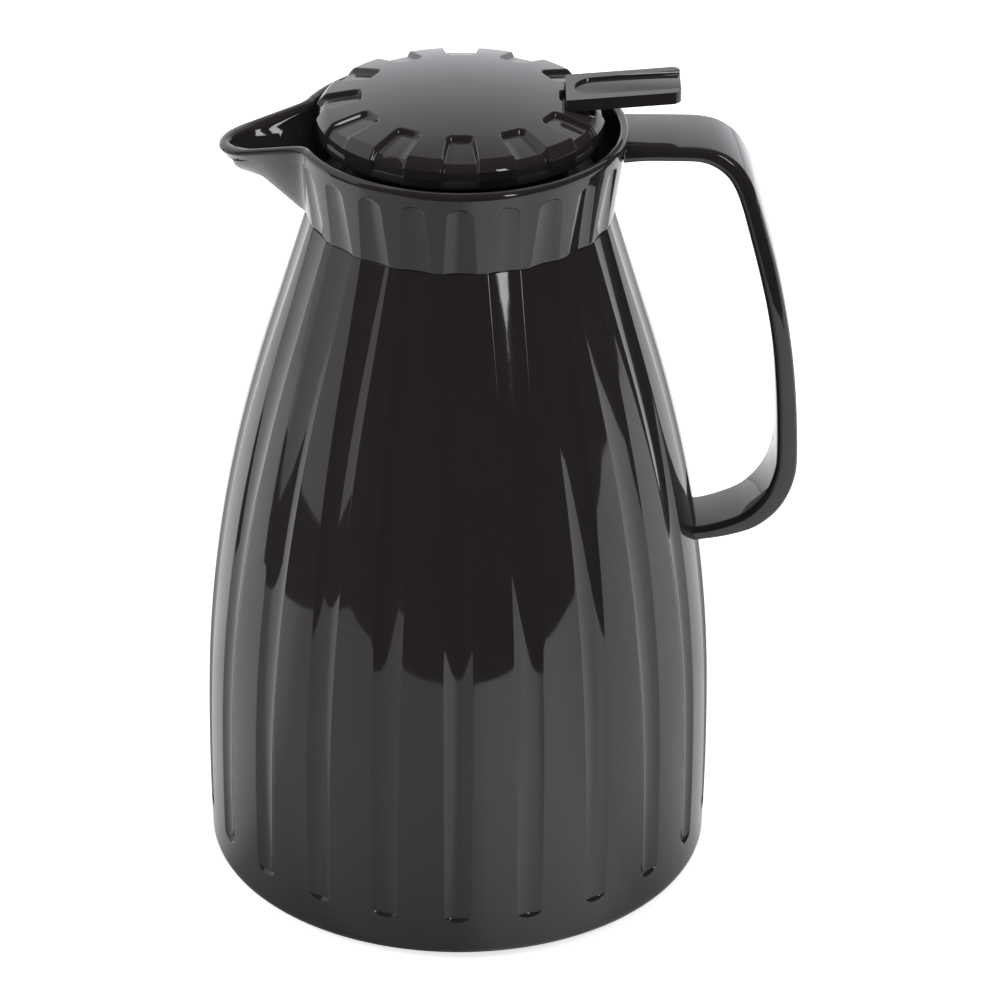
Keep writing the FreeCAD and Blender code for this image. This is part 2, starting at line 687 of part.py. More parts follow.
def thread_rib(radius, depth, height, start, sweep, level):
    """A rib that rises round the axis, from sections that share one loft."""
    lead = value("thread_lead")
    steps = max(int(sweep / thread_step), 4)
    ring = []
    for step in range(steps + 1):
        angle = start + sweep * step / steps
        rise = level + lead * angle / 360.0
        turn = math.radians(angle)
        inner, outer = sorted((radius, radius + depth))
        corners = []
        for reach, up in ((inner, 0.0), (outer, 0.0), (outer, height), (inner, height)):
            corners.append(Vector(reach * math.cos(turn), reach * math.sin(turn), rise + up))
        ring.append(Part.makePolygon(corners + [corners[0]]))
    return Part.makeLoft(ring, True, False)


lug_level = value(tube_low + " + seat_thickness + gasket_height")
rib_start = 20.0
rib_sweep = 95.0
lug_start = 48.0
lug_sweep = 36.0
thread_step = 10.0
lug_rise = value("thread_height + slide_clearance")
ribs = []
lugs = []
for index in range(thread_starts):
    shift = 360.0 / thread_starts * index
    rib = thread_rib(
        value("neck_bore") + value("seat_clearance"), -value("thread_depth + seat_clearance"),
        value("thread_height"), rib_start, rib_sweep, lug_level,
    )
    lug = thread_rib(
        value("barrel_radius") - value("seat_clearance"), value("thread_depth + seat_clearance"),
        value("thread_height"), lug_start, lug_sweep, lug_level - lug_rise,
    )
    ribs.append(around(rib, shift))
    lugs.append(around(lug, shift))
rib_tools = fixed("neck_ribs", Part.makeCompound(ribs))
stopper_lugs = fixed("stopper_lugs", Part.makeCompound(lugs))

collar_fluted = cut("collar_fluted", collar_turned, [collar_flute_tools])
collar_beaked = joined("collar_beaked", [collar_fluted, beak_outer])
keep("neck_tube", joined("neck_tube", [neck_turned, rib_tools]))
bowl_room = turned("bowl_room", [
    ("0", "waist_height"),
    (funnel_edge, "waist_height"),
    (funnel_edge, funnel_level + " + collar_wall"),
    (rim_inner, rim_height + " - rim_bead / 2"),
    (rim_inner, rim_height + " + cut_overrun"),
    ("0", rim_height + " + cut_overrun"),
])

# Handle: a strap bent in one plane, wide at the top and narrower below. Corners are shares
# of the reach and of the top height.
strap_outer_shares = [
    ((0.7000, 0.9985), None),
    ((0.8600, 0.9400), (0.8030, 0.9790)),
    ((0.9970, 0.6027), (0.9400, 0.8100)),
    ((1.0000, 0.5600), (0.9995, 0.5810)),
    ((0.8900, 0.4680), (0.9680, 0.4960)),
]
strap_inner_shares = [
    ((0.8650, 0.4885), None),
    ((0.9350, 0.5450), (0.9170, 0.5085)),
    ((0.9290, 0.6164), (0.9335, 0.5800)),
    ((0.8050, 0.9330), (0.8760, 0.7950)),
    ((0.7300, 0.9806), (0.7790, 0.9660)),
]


def strap_corner(corner, middle):
    """A corner of the strap, with the middle of the arc that leads to it."""
    result = ["handle_reach * %s" % corner[0], "handle_top * %s" % corner[1]]
    if middle:
        result += ["handle_reach * %s" % middle[0], "handle_top * %s" % middle[1]]
    return tuple(result)


strap_corners = [("waist_radius", "handle_top")]
strap_corners += [strap_corner(corner, middle) for corner, middle in strap_outer_shares]
strap_corners += [("body_radius * 0.8600", "handle_top * 0.4500")]
strap_corners += [("body_radius * 0.8600", "handle_top * 0.4690")]
strap_corners += [strap_corner(corner, middle) for corner, middle in strap_inner_shares]
strap_corners += [("waist_radius", "handle_top - handle_thickness")]
strap = padded("handle_strap", "XZ_Plane", strap_corners, "handle_width")
strap_sides = padded("handle_sides", "YZ_Plane", [
    ("-handle_low_width / 2", "handle_top * 0.40"),
    ("handle_low_width / 2", "handle_top * 0.40"),
    ("handle_low_width / 2", "handle_top * 0.50"),
    ("handle_width / 2", "handle_top * 0.88"),
    ("handle_width / 2", "handle_top + cut_overrun"),
    ("-handle_width / 2", "handle_top + cut_overrun"),
    ("-handle_width / 2", "handle_top * 0.88"),
    ("-handle_low_width / 2", "handle_top * 0.50"),
], "handle_reach * 3")
strap_shaped = doc.addObject("Part::MultiCommon", "handle_shaped")
strap_shaped.Shapes = [strap, strap_sides]
doc.recompute()
collar_core = turned("collar_core", [
    ("0", "waist_height"),
    ("waist_radius", "waist_height"),
    ("rim_radius", rim_height + " - rim_bead / 2",
     "(waist_radius + rim_radius) / 2 - collar_wall * 0.1", "waist_height + collar_height * 0.5"),
    ("rim_radius", rim_height),
    ("0", rim_height),
])
shell_core = turned("shell_core", [("0", "foot_height")] + shell_corners[:6] + [("0", "waist_height")])
handle_pilot = doc.addObject("Part::Cylinder", "handle_pilot")
handle_pilot.setExpression("Radius", bound("handle_screw_radius"))
handle_pilot.setExpression("Height", bound("body_radius * 1.005"))
handle_pilot.setExpression("Placement.Base.z", bound(handle_join_height))
handle_pilot.Placement.Rotation = FreeCAD.Rotation(Vector(0, 1, 0), 90)
tongue = block(
    "handle_tongue",
    ("rim_radius - tongue_depth - collar_wall * 0.3", "-tongue_width / 2",
     "handle_top - handle_thickness * 0.8"),
    ("tongue_depth * 2", "tongue_width", "handle_thickness * 0.55"),
)
handle_trimmed = cut("handle_trimmed", strap_shaped, [collar_core, shell_core])
keep("handle", cut("handle", joined("handle_joined", [handle_trimmed, tongue]), [handle_pilot]))

# The collar is finished once the tongue of the handle is known
collar_open = cut("collar_open", collar_beaked, [bowl_room, beak_channel, tongue])
keep("collar", collar_open)

# Handle screw: driven from inside the shell into the end of the strap
screw_seat = wall_radius(value(handle_join_height)) - value("shell_wall")
screw_head = Part.makeCylinder(
    value("screw_head_radius"), value("screw_head_height"),
    Vector(screw_seat - value("screw_head_height + seat_clearance * 2"), 0, value(handle_join_height)),
    Vector(1, 0, 0),
)
screw_shank = Part.makeCylinder(
    value("handle_screw_radius"), value("body_radius") - screw_seat + value("screw_head_height"),
    Vector(screw_seat - value("screw_head_height"), 0, value(handle_join_height)),
    Vector(1, 0, 0),
)
handle_screw = fixed("handle_screw_solid", screw_head.fuse(screw_shank).removeSplitter())
keep("handle_screw", handle_screw)

# Neck gasket between the glass lip and the neck tube
keep("neck_gasket", turned("neck_gasket", [
    (inner_neck, "flask_lip_height"),
    ("neck_glass_radius", "flask_lip_height"),
    ("neck_glass_radius", tube_low),
    (inner_neck, tube_low),
]))

# Stopper gasket on the sealing step, small enough to pass the thread ribs
gasket_reach = "(neck_bore - thread_depth - slide_clearance)"
seat_level = "(" + tube_low + " + seat_thickness)"
barrel_low = "(" + seat_level + " + gasket_height)"
keep("stopper_gasket", turned("stopper_gasket", [
    (gasket_reach + " - gasket_width", seat_level),
    (gasket_reach, seat_level),
    (gasket_reach, barrel_low),
    (gasket_reach + " - gasket_width", barrel_low),
]))

# Lid cap: domed disc with a stepped skirt, twelve grip notches and room for the lever's hub
cap_under = "(lid_top - lid_plate)"
skirt_low = "(lid_top - lid_skirt_height)"
band = "(lid_skirt_height * 0.3)"
step_level = "(" + skirt_low + " + " + band + " * 2.1)"
barrel_inner = "(barrel_radius - barrel_wall)"


def lid_surface(sink, draw_in):
    """The dome and shoulder of the lid, sunk by one size and drawn in at the side by another."""
    return [
        ("lid_radius - %s" % draw_in, step_level),
        ("lid_radius - %s" % draw_in, "lid_top - lid_shoulder - %s * 0.4" % sink),
        ("lid_dome_radius", "lid_top - %s" % sink,
         "lid_dome_radius + (lid_radius - lid_dome_radius - %s) * 0.72" % draw_in,
         "lid_top - lid_shoulder * 0.3 - %s * 0.85" % sink),
        ("lid_dome_radius * 0.1", "lid_top + lid_crown - %s" % sink,
         "lid_dome_radius * 0.5", "lid_top + lid_crown * 0.75 - %s" % sink),
        ("0", "lid_top + lid_crown - %s" % sink),
    ]


lid_turned = turned("lid_cap_turned", [
    ("0", "lid_top + lid_crown - lid_plate"),
    ("lid_dome_radius * 0.1", "lid_top + lid_crown - lid_plate"),
    (barrel_inner, "lid_top + lid_crown * 0.4 - lid_plate",
     "lid_dome_radius * 0.45", "lid_top + lid_crown * 0.8 - lid_plate"),
    (barrel_inner, cap_under),
    ("lid_radius - lid_step * 2 - lid_skirt_wall", cap_under),
    ("lid_radius - lid_step * 2 - lid_skirt_wall", skirt_low),
    ("lid_radius - lid_step * 2", skirt_low),
    ("lid_radius - lid_step * 2", skirt_low + " + " + band),
    ("lid_radius - lid_step", skirt_low + " + " + band),
    ("lid_radius - lid_step", step_level),
] + lid_surface("0", "0"))
notch_far = "(lid_radius + cut_overrun)"
notch_sides = padded("notch_sides", "XY_Plane", [
    ("-notch_width / 2", "-" + notch_far),
    ("notch_width / 2", "-" + notch_far),
    ("notch_tip_width / 2", "-(notch_tip_radius + notch_tip_width / 2)"),
    ("-notch_tip_width / 2", "-(notch_tip_radius + notch_tip_width / 2)", "0", "-notch_tip_radius"),
], "(lid_top + lid_crown) * 2.1")
notch_floor = turned("notch_floor", lid_surface("notch_depth", "lid_step * 1.5") + [
    ("0", "lid_top + lid_crown + cut_overrun"),
    (notch_far, "lid_top + lid_crown + cut_overrun"),
    (notch_far, skirt_low + " + " + band),
    ("lid_radius - lid_step * 1.5", skirt_low + " + " + band),
])
notch_shape = doc.addObject("Part::MultiCommon", "notch_shape")
notch_shape.Shapes = [notch_sides, notch_floor]
doc.recompute()
notch_tools = fixed("notch_tools", Part.makeCompound(
    [around(notch_shape.Shape, 360.0 / notch_count * index) for index in range(notch_count)]
))
hub_room = block(
    "hub_room",
    ("lever_inner - slide_clearance * 1.5", "-lever_width / 2 - slide_clearance", cap_under + " - cut_overrun"),
    ("hub_length + lid_plate + slide_clearance * 2.5", "lever_width + slide_clearance * 2",
     "lid_plate + cut_overrun * 3"),
)
cheeks = []
for side_name, side in (("left", "-lever_width / 2 - slide_clearance - lid_plate"),
                        ("right", "lever_width / 2 + slide_clearance")):
    cheeks.append(block(
        "cheek_" + side_name,
        ("lever_pin_reach - hub_length / 2", side, "lever_pin_height - lever_pin_radius * 2.4"),
        ("hub_length", "lid_plate", cap_under + " - lever_pin_height + lever_pin_radius * 2.4"),
    ))
bosses = []
boss_holes = []
lid_screw_parts = []
flange_low = skirt_low
lid_screw_circle = "((barrel_radius + lid_radius) / 2 - lid_skirt_wall)"
for index in range(screw_count):
    angle = 360.0 / screw_count * index + 180.0 / screw_count
    bosses.append(upright_rod(
        "lid_boss_%d" % index, "screw_head_radius", "flange_thickness + " + flange_low,
        cap_under + " - flange_thickness - " + flange_low, lid_screw_circle, angle,
    ))
    boss_holes.append(upright_rod(
        "lid_boss_hole_%d" % index, "screw_radius", flange_low,
        "flange_thickness * 2.95", lid_screw_circle, angle,
    ))
    lid_screw_parts.append(upright_rod(
        "lid_screw_shank_%d" % index, "screw_radius", flange_low,
        "flange_thickness * 2.9", lid_screw_circle, angle,
    ))
    lid_screw_parts.append(upright_rod(
        "lid_screw_head_%d" % index, "screw_head_radius", flange_low + " - screw_head_height",
        "screw_head_height", lid_screw_circle, angle,
    ))
pin_hole = doc.addObject("Part::Cylinder", "pin_hole")
pin_hole.setExpression("Radius", bound("lever_pin_radius"))
pin_hole.setExpression("Height", bound("lever_width * 2"))
pin_hole.setExpression("Placement.Base.x", bound("lever_pin_reach"))
pin_hole.setExpression("Placement.Base.y", bound("lever_width"))
pin_hole.setExpression("Placement.Base.z", bound("lever_pin_height"))
pin_hole.Placement.Rotation = FreeCAD.Rotation(Vector(1, 0, 0), 90)
lid_notched = cut("lid_cap_notched", lid_turned, [notch_tools, hub_room])
lid_joined = joined("lid_cap_joined", [lid_notched] + cheeks + bosses)
keep("lid_cap", cut("lid_cap", lid_joined, boss_holes + [pin_hole]))
keep("lid_screws", joined("lid_screws", lid_screw_parts))

# Lever pin
lever_pin = doc.addObject("Part::Cylinder", "lever_pin")
lever_pin.setExpression("Radius", bound("lever_pin_radius"))
lever_pin.setExpression("Height", bound("lever_width + slide_clearance * 2 + lid_plate * 1.6"))
lever_pin.setExpression("Placement.Base.x", bound("lever_pin_reach"))
pin_end = "(lever_width + slide_clearance * 2 + lid_plate * 1.6) / 2"
lever_pin.setExpression("Placement.Base.y", bound(pin_end))
lever_pin.setExpression("Placement.Base.z", bound("lever_pin_height"))
lever_pin.Placement.Rotation = FreeCAD.Rotation(Vector(1, 0, 0), 90)
keep("lever_pin", lever_pin)

# Stopper body: barrel with floor, port, bridge plate with the stem guide, and the flange
# that closes the lid's skirt
bridge_low = "(waist_height + bridge_height)"
stopper_turned = turned("stopper_turned", [
    ("port_radius", barrel_low),
    ("barrel_radius", barrel_low),
    ("barrel_radius", flange_low),
    ("lid_radius - lid_step * 2 - lid_skirt_wall - seat_clearance", flange_low),
    ("lid_radius - lid_step * 2 - lid_skirt_wall - seat_clearance", flange_low + " + flange_thickness"),
    ("barrel_radius", flange_low + " + flange_thickness"),
    ("barrel_radius", cap_under),
    (barrel_inner, cap_under),
    (barrel_inner, bridge_low + " + bridge_thickness"),
    ("stem_radius + stem_clearance", bridge_low + " + bridge_thickness"),
    ("stem_radius + stem_clearance", bridge_low + " - bridge_thickness"),
    ("guide_radius", bridge_low + " - bridge_thickness"),
    ("guide_radius", bridge_low),
    (barrel_inner, bridge_low),
    (barrel_inner, barrel_low + " + barrel_floor"),
    ("port_radius", barrel_low + " + barrel_floor"),
])
side_port = block(
    "side_port",
    ("-barrel_radius - cut_overrun", "-port_width / 2", funnel_level),
    ("barrel_wall * 2 + cut_overrun * 2", "port_width", "port_height"),
)
vent_port = block(
    "vent_port",
    ("barrel_radius - barrel_wall * 2", "-vent_width / 2", funnel_level),
    ("barrel_wall * 2 + cut_overrun", "vent_width", "port_height * 0.6"),
)
arm_room = block(
    "arm_room",
    ("barrel_radius - barrel_wall * 2", "-lever_width / 2 - slide_clearance - lid_plate - seat_clearance",
     "arm_height - slide_clearance * 2"),
    ("hub_length + barrel_wall * 3 + cut_overrun * 2",
     "lever_width + (slide_clearance + lid_plate + seat_clearance) * 2",
     cap_under + " - arm_height + cut_overrun"),
)
screw_passes = []
for index in range(screw_count):
    angle = 360.0 / screw_count * index + 180.0 / screw_count
    screw_passes.append(upright_rod(
        "lid_screw_pass_%d" % index, "screw_radius", flange_low + " - cut_overrun",
        "flange_thickness + cut_overrun * 2", lid_screw_circle, angle,
    ))
stopper_joined = joined("stopper_joined", [stopper_turned, stopper_lugs])
keep("stopper_body", cut("stopper_body", stopper_joined, [side_port, vent_port, arm_room] + screw_passes))

# Thumb lever: plate with the hub and the inner arm in one moulding
plate_end = "(lever_height + lever_rise)"
lever_plate_body = padded("lever_plate_body", "XZ_Plane", [
    ("lever_inner", "lever_height - lever_plate - lid_plate"),
    ("lever_inner + hub_length", "lever_height - lever_plate - lid_plate"),
    ("lever_inner + hub_length + lid_plate", "lever_height - lever_plate * 0.9"),
    ("lever_reach", plate_end + " - lever_plate"),
    ("lever_reach", plate_end),
    ("lever_inner", "lever_height"),
], "lever_width")
corner_middle = "(lever_corner * (1 - sqrt(0.5)))"
lever_plan = padded("lever_plan", "XY_Plane", [
    ("lever_inner", "-lever_width / 2"),
    ("lever_reach - lever_corner", "-lever_width / 2"),
    ("lever_reach", "-lever_width / 2 + lever_corner",
     "lever_reach - " + corner_middle, "-lever_width / 2 + " + corner_middle),
    ("lever_reach", "lever_width / 2 - lever_corner"),
    ("lever_reach - lever_corner", "lever_width / 2",
     "lever_reach - " + corner_middle, "lever_width / 2 - " + corner_middle),
    ("lever_inner", "lever_width / 2"),
], plate_end + " * 2")
lever_rounded = doc.addObject("Part::MultiCommon", "lever_rounded")
lever_rounded.Shapes = [lever_plate_body, lever_plan]
doc.recompute()
arm_body = padded("lever_arm_body", "XZ_Plane", [
    ("-stem_radius * 2", "arm_height"),
    ("lever_pin_reach + hub_length / 2", "arm_height"),
    ("lever_pin_reach + hub_length / 2", "lever_height - lever_plate / 2"),
    ("lever_pin_reach - hub_length / 2", "lever_height - lever_plate / 2"),
    ("lever_pin_reach - hub_length / 2", "arm_height + arm_thickness"),
    ("-stem_radius * 2", "arm_height + arm_thickness"),
], "arm_width")
fork_room = block(
    "fork_room",
    ("-stem_radius * 2 - cut_overrun", "-stem_radius - slide_clearance", "arm_height - cut_overrun"),
    ("stem_radius * 4 + cut_overrun", "(stem_radius + slide_clearance) * 2",
     "arm_thickness + cut_overrun * 2"),
)
groove_tilt = math.degrees(math.atan2(value("lever_rise"), value("lever_reach - lever_inner")))
groove_start = value("lever_inner") + value("hub_length")
groove_top = value("lever_height") + value("lever_rise") * value("hub_length") / value("lever_reach - lever_inner")
groove_box = Part.makeBox(
    value("lever_reach") * 0.6, value("lever_groove_width"), overrun + value("lever_groove_depth"),
    Vector(value("lever_groove_width") / 2, -value("lever_groove_width") / 2, -value("lever_groove_depth")),
)
groove_round = Part.makeCylinder(
    value("lever_groove_width") / 2, overrun + value("lever_groove_depth"),
    Vector(value("lever_groove_width") / 2, 0, -value("lever_groove_depth")),
)
groove_shape = groove_box.fuse(groove_round).removeSplitter()
groove_shape.rotate(Vector(0, 0, 0), Vector(0, 1, 0), -groove_tilt)
groove_shape.translate(Vector(groove_start, 0, groove_top))
groove = fixed("thumb_groove", groove_shape)
lever_bore = doc.addObject("Part::Cylinder", "lever_bore")
lever_bore.setExpression("Radius", bound("lever_pin_radius + pin_clearance"))
lever_bore.setExpression("Height", bound("lever_width * 2"))
lever_bore.setExpression("Placement.Base.x", bound("lever_pin_reach"))
lever_bore.setExpression("Placement.Base.y", bound("lever_width"))
lever_bore.setExpression("Placement.Base.z", bound("lever_pin_height"))
lever_bore.Placement.Rotation = FreeCAD.Rotation(Vector(1, 0, 0), 90)
lever_joined = joined("lever_joined", [lever_rounded, arm_body])
keep("thumb_lever", cut("thumb_lever", lever_joined, [fork_room, groove, lever_bore]))

# Valve: disc, seal, stem and the cap that the lever lifts
disc_low = "(" + barrel_low + " + barrel_floor + seal_height)"
cap_low = "(arm_height + arm_thickness + seat_clearance)"
keep("valve_seal", turned("valve_seal", [
    ("valve_radius - seal_width", barrel_low + " + barrel_floor"),
    ("valve_radius", barrel_low + " + barrel_floor"),
    ("valve_radius", disc_low),
    ("valve_radius - seal_width", disc_low),
]))
keep("valve_disc", turned("valve_disc", [
    ("stem_radius", disc_low),
    ("valve_radius", disc_low),
    ("valve_radius", disc_low + " + valve_thickness"),
    ("stem_radius", disc_low + " + valve_thickness"),
]))
keep("valve_stem", turned("valve_stem", [
    ("0", disc_low),
    ("stem_radius", disc_low),
    ("stem_radius", cap_low + " + stem_cap_height * 0.7"),
    ("0", cap_low + " + stem_cap_height * 0.7"),
]))
keep("stem_cap", turned("stem_cap", [
    ("stem_radius", cap_low),
    ("stem_cap_radius", cap_low),
    ("stem_cap_radius", cap_low + " + stem_cap_height"),
    ("0", cap_low + " + stem_cap_height"),
    ("0", cap_low + " + stem_cap_height * 0.7"),
    ("stem_radius", cap_low + " + stem_cap_height * 0.7"),
]))

# Return spring: one wound wire of tilted half turns that meet without a kink
spring_low = value(disc_low + " + valve_thickness + spring_wire / 2")
spring_high = value(bridge_low + " - spring_wire / 2")
spring_radius = value("spring_radius")
half_rise = (spring_high - spring_low) / spring_half_turns
spring_edges = []
for index in range(spring_half_turns):
    side = 1.0 if index % 2 == 0 else -1.0
    foot = spring_low + half_rise * index
    spring_edges.append(Part.Arc(
        Vector(spring_radius * side, 0, foot),
        Vector(0, spring_radius * side, foot + half_rise / 2),
        Vector(-spring_radius * side, 0, foot + half_rise),
    ).toShape())
spring_path = Part.Wire(spring_edges)
wire_ring = Part.Wire(Part.makeCircle(
    value("spring_wire") / 2, Vector(spring_radius, 0, spring_low), Vector(0, 1, 0)))
spring_solid = spring_path.makePipeShell([wire_ring], True, False)
print("return spring gap", round(half_rise * 2 - value("spring_wire"), 3))
keep("return_spring", fixed("return_spring_solid", spring_solid))

# Checks and export
doc.recompute()
for item in doc.Objects:
    state = " ".join(item.State)
    if "Invalid" in state or "Error" in state:
        raise ValueError("%s is in state %s" % (item.Label, state))
os.makedirs("parts", exist_ok=True)
for label, item in nodes.items():
    shape = item.Shape
    if shape.isNull() or not shape.isValid() or not shape.Solids:
        raise ValueError("%s has no valid solid" % label)
    shape.exportStep("parts/%s.step" % label)
    print(label, len(shape.Solids), round(shape.Volume), [round(v, 1) for v in (
        shape.BoundBox.XMin, shape.BoundBox.XMax, shape.BoundBox.YMin, shape.BoundBox.YMax,
        shape.BoundBox.ZMin, shape.BoundBox.ZMax)])
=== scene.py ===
import json
import math
import bpy
import bmesh
from mathutils import Matrix, Vector


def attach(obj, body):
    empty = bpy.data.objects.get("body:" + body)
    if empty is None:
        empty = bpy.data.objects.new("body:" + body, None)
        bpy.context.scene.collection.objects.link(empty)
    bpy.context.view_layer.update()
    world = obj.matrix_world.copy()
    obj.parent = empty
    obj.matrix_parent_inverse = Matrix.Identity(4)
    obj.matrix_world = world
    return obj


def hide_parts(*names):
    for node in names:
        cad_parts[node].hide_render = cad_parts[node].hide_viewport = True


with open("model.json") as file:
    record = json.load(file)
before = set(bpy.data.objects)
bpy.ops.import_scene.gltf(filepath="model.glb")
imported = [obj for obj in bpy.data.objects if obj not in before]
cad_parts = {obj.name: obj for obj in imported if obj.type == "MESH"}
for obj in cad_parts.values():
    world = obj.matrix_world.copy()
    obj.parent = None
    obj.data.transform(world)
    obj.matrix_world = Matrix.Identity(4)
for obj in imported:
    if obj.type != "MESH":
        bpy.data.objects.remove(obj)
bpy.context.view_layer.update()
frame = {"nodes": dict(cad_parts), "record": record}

scene = bpy.context.scene

# Camera
# A long lens about a metre and a half away, looking down at the server from the front,
# with the handle on the right.
AIM = Vector((0.0, 0.0, 0.120))
CAMERA_ELEVATION = 0.496656
CAMERA_DISTANCE = 1.450134
CAMERA_PAN = 0.009480
CAMERA_TILT = 0.004140
CAMERA_ROLL = 0.008685
FOCAL_SHARE = 4.928577
SENSOR_WIDTH = 36.0
camera_data = bpy.data.cameras.new("camera")
camera_data.sensor_width = SENSOR_WIDTH
camera_data.lens = FOCAL_SHARE * SENSOR_WIDTH
camera_data.clip_start = 0.05
camera_data.clip_end = 60.0
camera = bpy.data.objects.new("camera", camera_data)
scene.collection.objects.link(camera)
look_down = CAMERA_ELEVATION + CAMERA_TILT
forward = Vector((
    math.sin(CAMERA_PAN) * math.cos(look_down),
    math.cos(CAMERA_PAN) * math.cos(look_down),
    -math.sin(look_down),
))
right = Vector((math.cos(CAMERA_PAN), -math.sin(CAMERA_PAN), 0.0))
up = right.cross(forward)
right_rolled = right * math.cos(CAMERA_ROLL) + up * math.sin(CAMERA_ROLL)
up_rolled = up * math.cos(CAMERA_ROLL) - right * math.sin(CAMERA_ROLL)
towards_camera = Vector((0.0, -math.cos(CAMERA_ELEVATION), math.sin(CAMERA_ELEVATION)))
place = AIM + towards_camera * CAMERA_DISTANCE
turn = Matrix((right_rolled, up_rolled, -forward)).transposed().to_4x4()
camera.matrix_world = Matrix.Translation(place) @ turn
scene.camera = camera
scene.view_settings.view_transform = "Standard"


# Studio: white table and white surroundings
# The table is matt white board. It keeps a faint shadow for the eye, and in the gloss of the
# server it carries painted shade where the server and the black cloth would take its light away, and painted
# light beside it.
def linear(code):
    """An sRGB hex colour as a linear colour."""
    levels = [int(code[i:i + 2], 16) / 255.0 for i in (0, 2, 4)]
    shares = [v / 12.92 if v <= 0.04045 else ((v + 0.055) / 1.055) ** 2.4 for v in levels]
    return (shares[0], shares[1], shares[2], 1.0)


def add(tree, kind, links=None, **settings):
    """Adds a node, sets its properties and sockets, and links its inputs."""
    node = tree.nodes.new(kind)
    for name, amount in settings.items():
        if hasattr(node, name):
            setattr(node, name, amount)
        else:
            node.inputs[name.replace("_", " ")].default_value = amount
    for name, source in (links or {}).items():
        tree.links.new(source, node.inputs[name])
    return node


def new_material(name):
    """An empty node material with its output."""
    material = bpy.data.materials.new(name)
    material.use_nodes = True
    material.node_tree.nodes.clear()
    return material, material.node_tree, add(material.node_tree, "ShaderNodeOutputMaterial")


def two_tone(tree, factor, first, second):
    """A mix of two colours by the value of a socket."""
    mix = add(tree, "ShaderNodeMix", {"Factor": factor}, data_type="RGBA")
    mix.inputs["A"].default_value = first
    mix.inputs["B"].default_value = second
    return mix.outputs["Result"]


def grey_ramp(tree, factor, stops, blue):
    """A ramp of greys; blue is how much more of it each grey has."""
    ramp = add(tree, "ShaderNodeValToRGB", {"Fac": factor})
    while len(ramp.color_ramp.elements) < len(stops):
        ramp.color_ramp.elements.new(0.5)
    for element, (position, level) in zip(ramp.color_ramp.elements, stops):
        element.position = position
        element.color = (level, level, level * blue, 1.0)
    return ramp.outputs["Color"]


# Painted shade and light of the reflected table by direction, from the left through the front to the right.
TABLE_PAINTED_SHADE = [(0.0, 1.3), (0.06, 1.15), (0.12, 0.68), (0.50, 0.62), (0.56, 1.1), (0.72, 1.3),
               (0.80, 1.0), (1.0, 1.3)]
TABLE_EDGE = [(-0.40, -0.36), (1.6, -0.36), (1.6, 3.2), (-1.6, 3.2), (-1.6, 0.35), (-0.40, 0.05)]
board, tree, output = new_material("matt_white_board")
grain = add(tree, "ShaderNodeTexNoise", Scale=300.0, Detail=3.0)
tone = two_tone(tree, grain.outputs["Fac"], linear("F4F4F4"), linear("FAFAFA"))
rays = add(tree, "ShaderNodeLightPath")
apart = add(tree, "ShaderNodeSeparateXYZ", {"Vector": add(tree, "ShaderNodeTexCoord").outputs["Object"]})
direction = add(tree, "ShaderNodeMath", {0: apart.outputs["Y"], 1: apart.outputs["X"]}, operation="ARCTAN2")
turn_share = add(tree, "ShaderNodeMapRange", {"Value": direction.outputs[0]}, From_Min=-math.pi, From_Max=0.0)
# Painted shade and light on the table, seen only in the gloss.
painted_shade_tone = grey_ramp(tree, turn_share.outputs["Result"], TABLE_PAINTED_SHADE, 1.03)
in_gloss = add(tree, "ShaderNodeMix", {"Factor": rays.outputs["Is Glossy Ray"], "A": tone, "B": painted_shade_tone},
               data_type="RGBA")
matt = add(tree, "ShaderNodeBsdfDiffuse", {"Color": in_gloss.outputs["Result"]}, Roughness=0.6)
lift = add(tree, "ShaderNodeEmission", Strength=0.7)
lifted = add(tree, "ShaderNodeAddShader", {0: matt.outputs[0], 1: lift.outputs[0]})
chosen = add(tree, "ShaderNodeMixShader",
             {0: rays.outputs["Is Camera Ray"], 1: matt.outputs[0], 2: lifted.outputs[0]})
tree.links.new(chosen.outputs[0], output.inputs["Surface"])

table_mesh = bpy.data.meshes.new("table")
table_mesh.from_pydata([(x, y, 0.0) for x, y in TABLE_EDGE], [], [tuple(range(len(TABLE_EDGE)))])
table = bpy.data.objects.new("table", table_mesh)
scene.collection.objects.link(table)
table_mesh.materials.append(board)

world = bpy.data.worlds.new("white_studio")
world.use_nodes = True
scene.world = world
tree = world.node_tree
tree.nodes.clear()
output = add(tree, "ShaderNodeOutputWorld")
rays = add(tree, "ShaderNodeLightPath")
seen = add(tree, "ShaderNodeMath", {0: rays.outputs["Is Camera Ray"], 1: rays.outputs["Is Glossy Ray"]},
           operation="MAXIMUM")
seen = add(tree, "ShaderNodeMath", {0: seen.outputs[0], 1: rays.outputs["Is Transmission Ray"]},
           operation="MAXIMUM")
fill = add(tree, "ShaderNodeBackground", Strength=0.45)
white = add(tree, "ShaderNodeBackground", Strength=1.0)
chosen = add(tree, "ShaderNodeMixShader", {0: seen.outputs[0], 1: fill.outputs[0], 2: white.outputs[0]})
tree.links.new(chosen.outputs[0], output.inputs["Surface"])


# Painted reflections: studio cloths and cards, seen only in the gloss, lighting nothing and casting no shadow
# Painted dark reflection of black cloth in front, overhead and low on the left, a painted softbox
# reflection behind, and a narrow pale window on the right, whose painted reflection draws the one bright
# streak in a flute.
def glowing(name, strength, colour_of=None):
    """A material that only gives off light; colour_of adds the nodes of its colour."""
    material, tree, output = new_material(name)
    links = {"Color": colour_of(tree)} if colour_of else None
    glow = add(tree, "ShaderNodeEmission", links, Strength=strength)
    tree.links.new(glow.outputs[0], output.inputs["Surface"])
    return material


def dark_reflection_colour(tree):
    """Painted dark reflection: black cloth with a slight weave."""
    weave = add(tree, "ShaderNodeTexNoise", Scale=40.0)
    return two_tone(tree, weave.outputs["Fac"], linear("0E0D0D"), linear("221F1E"))


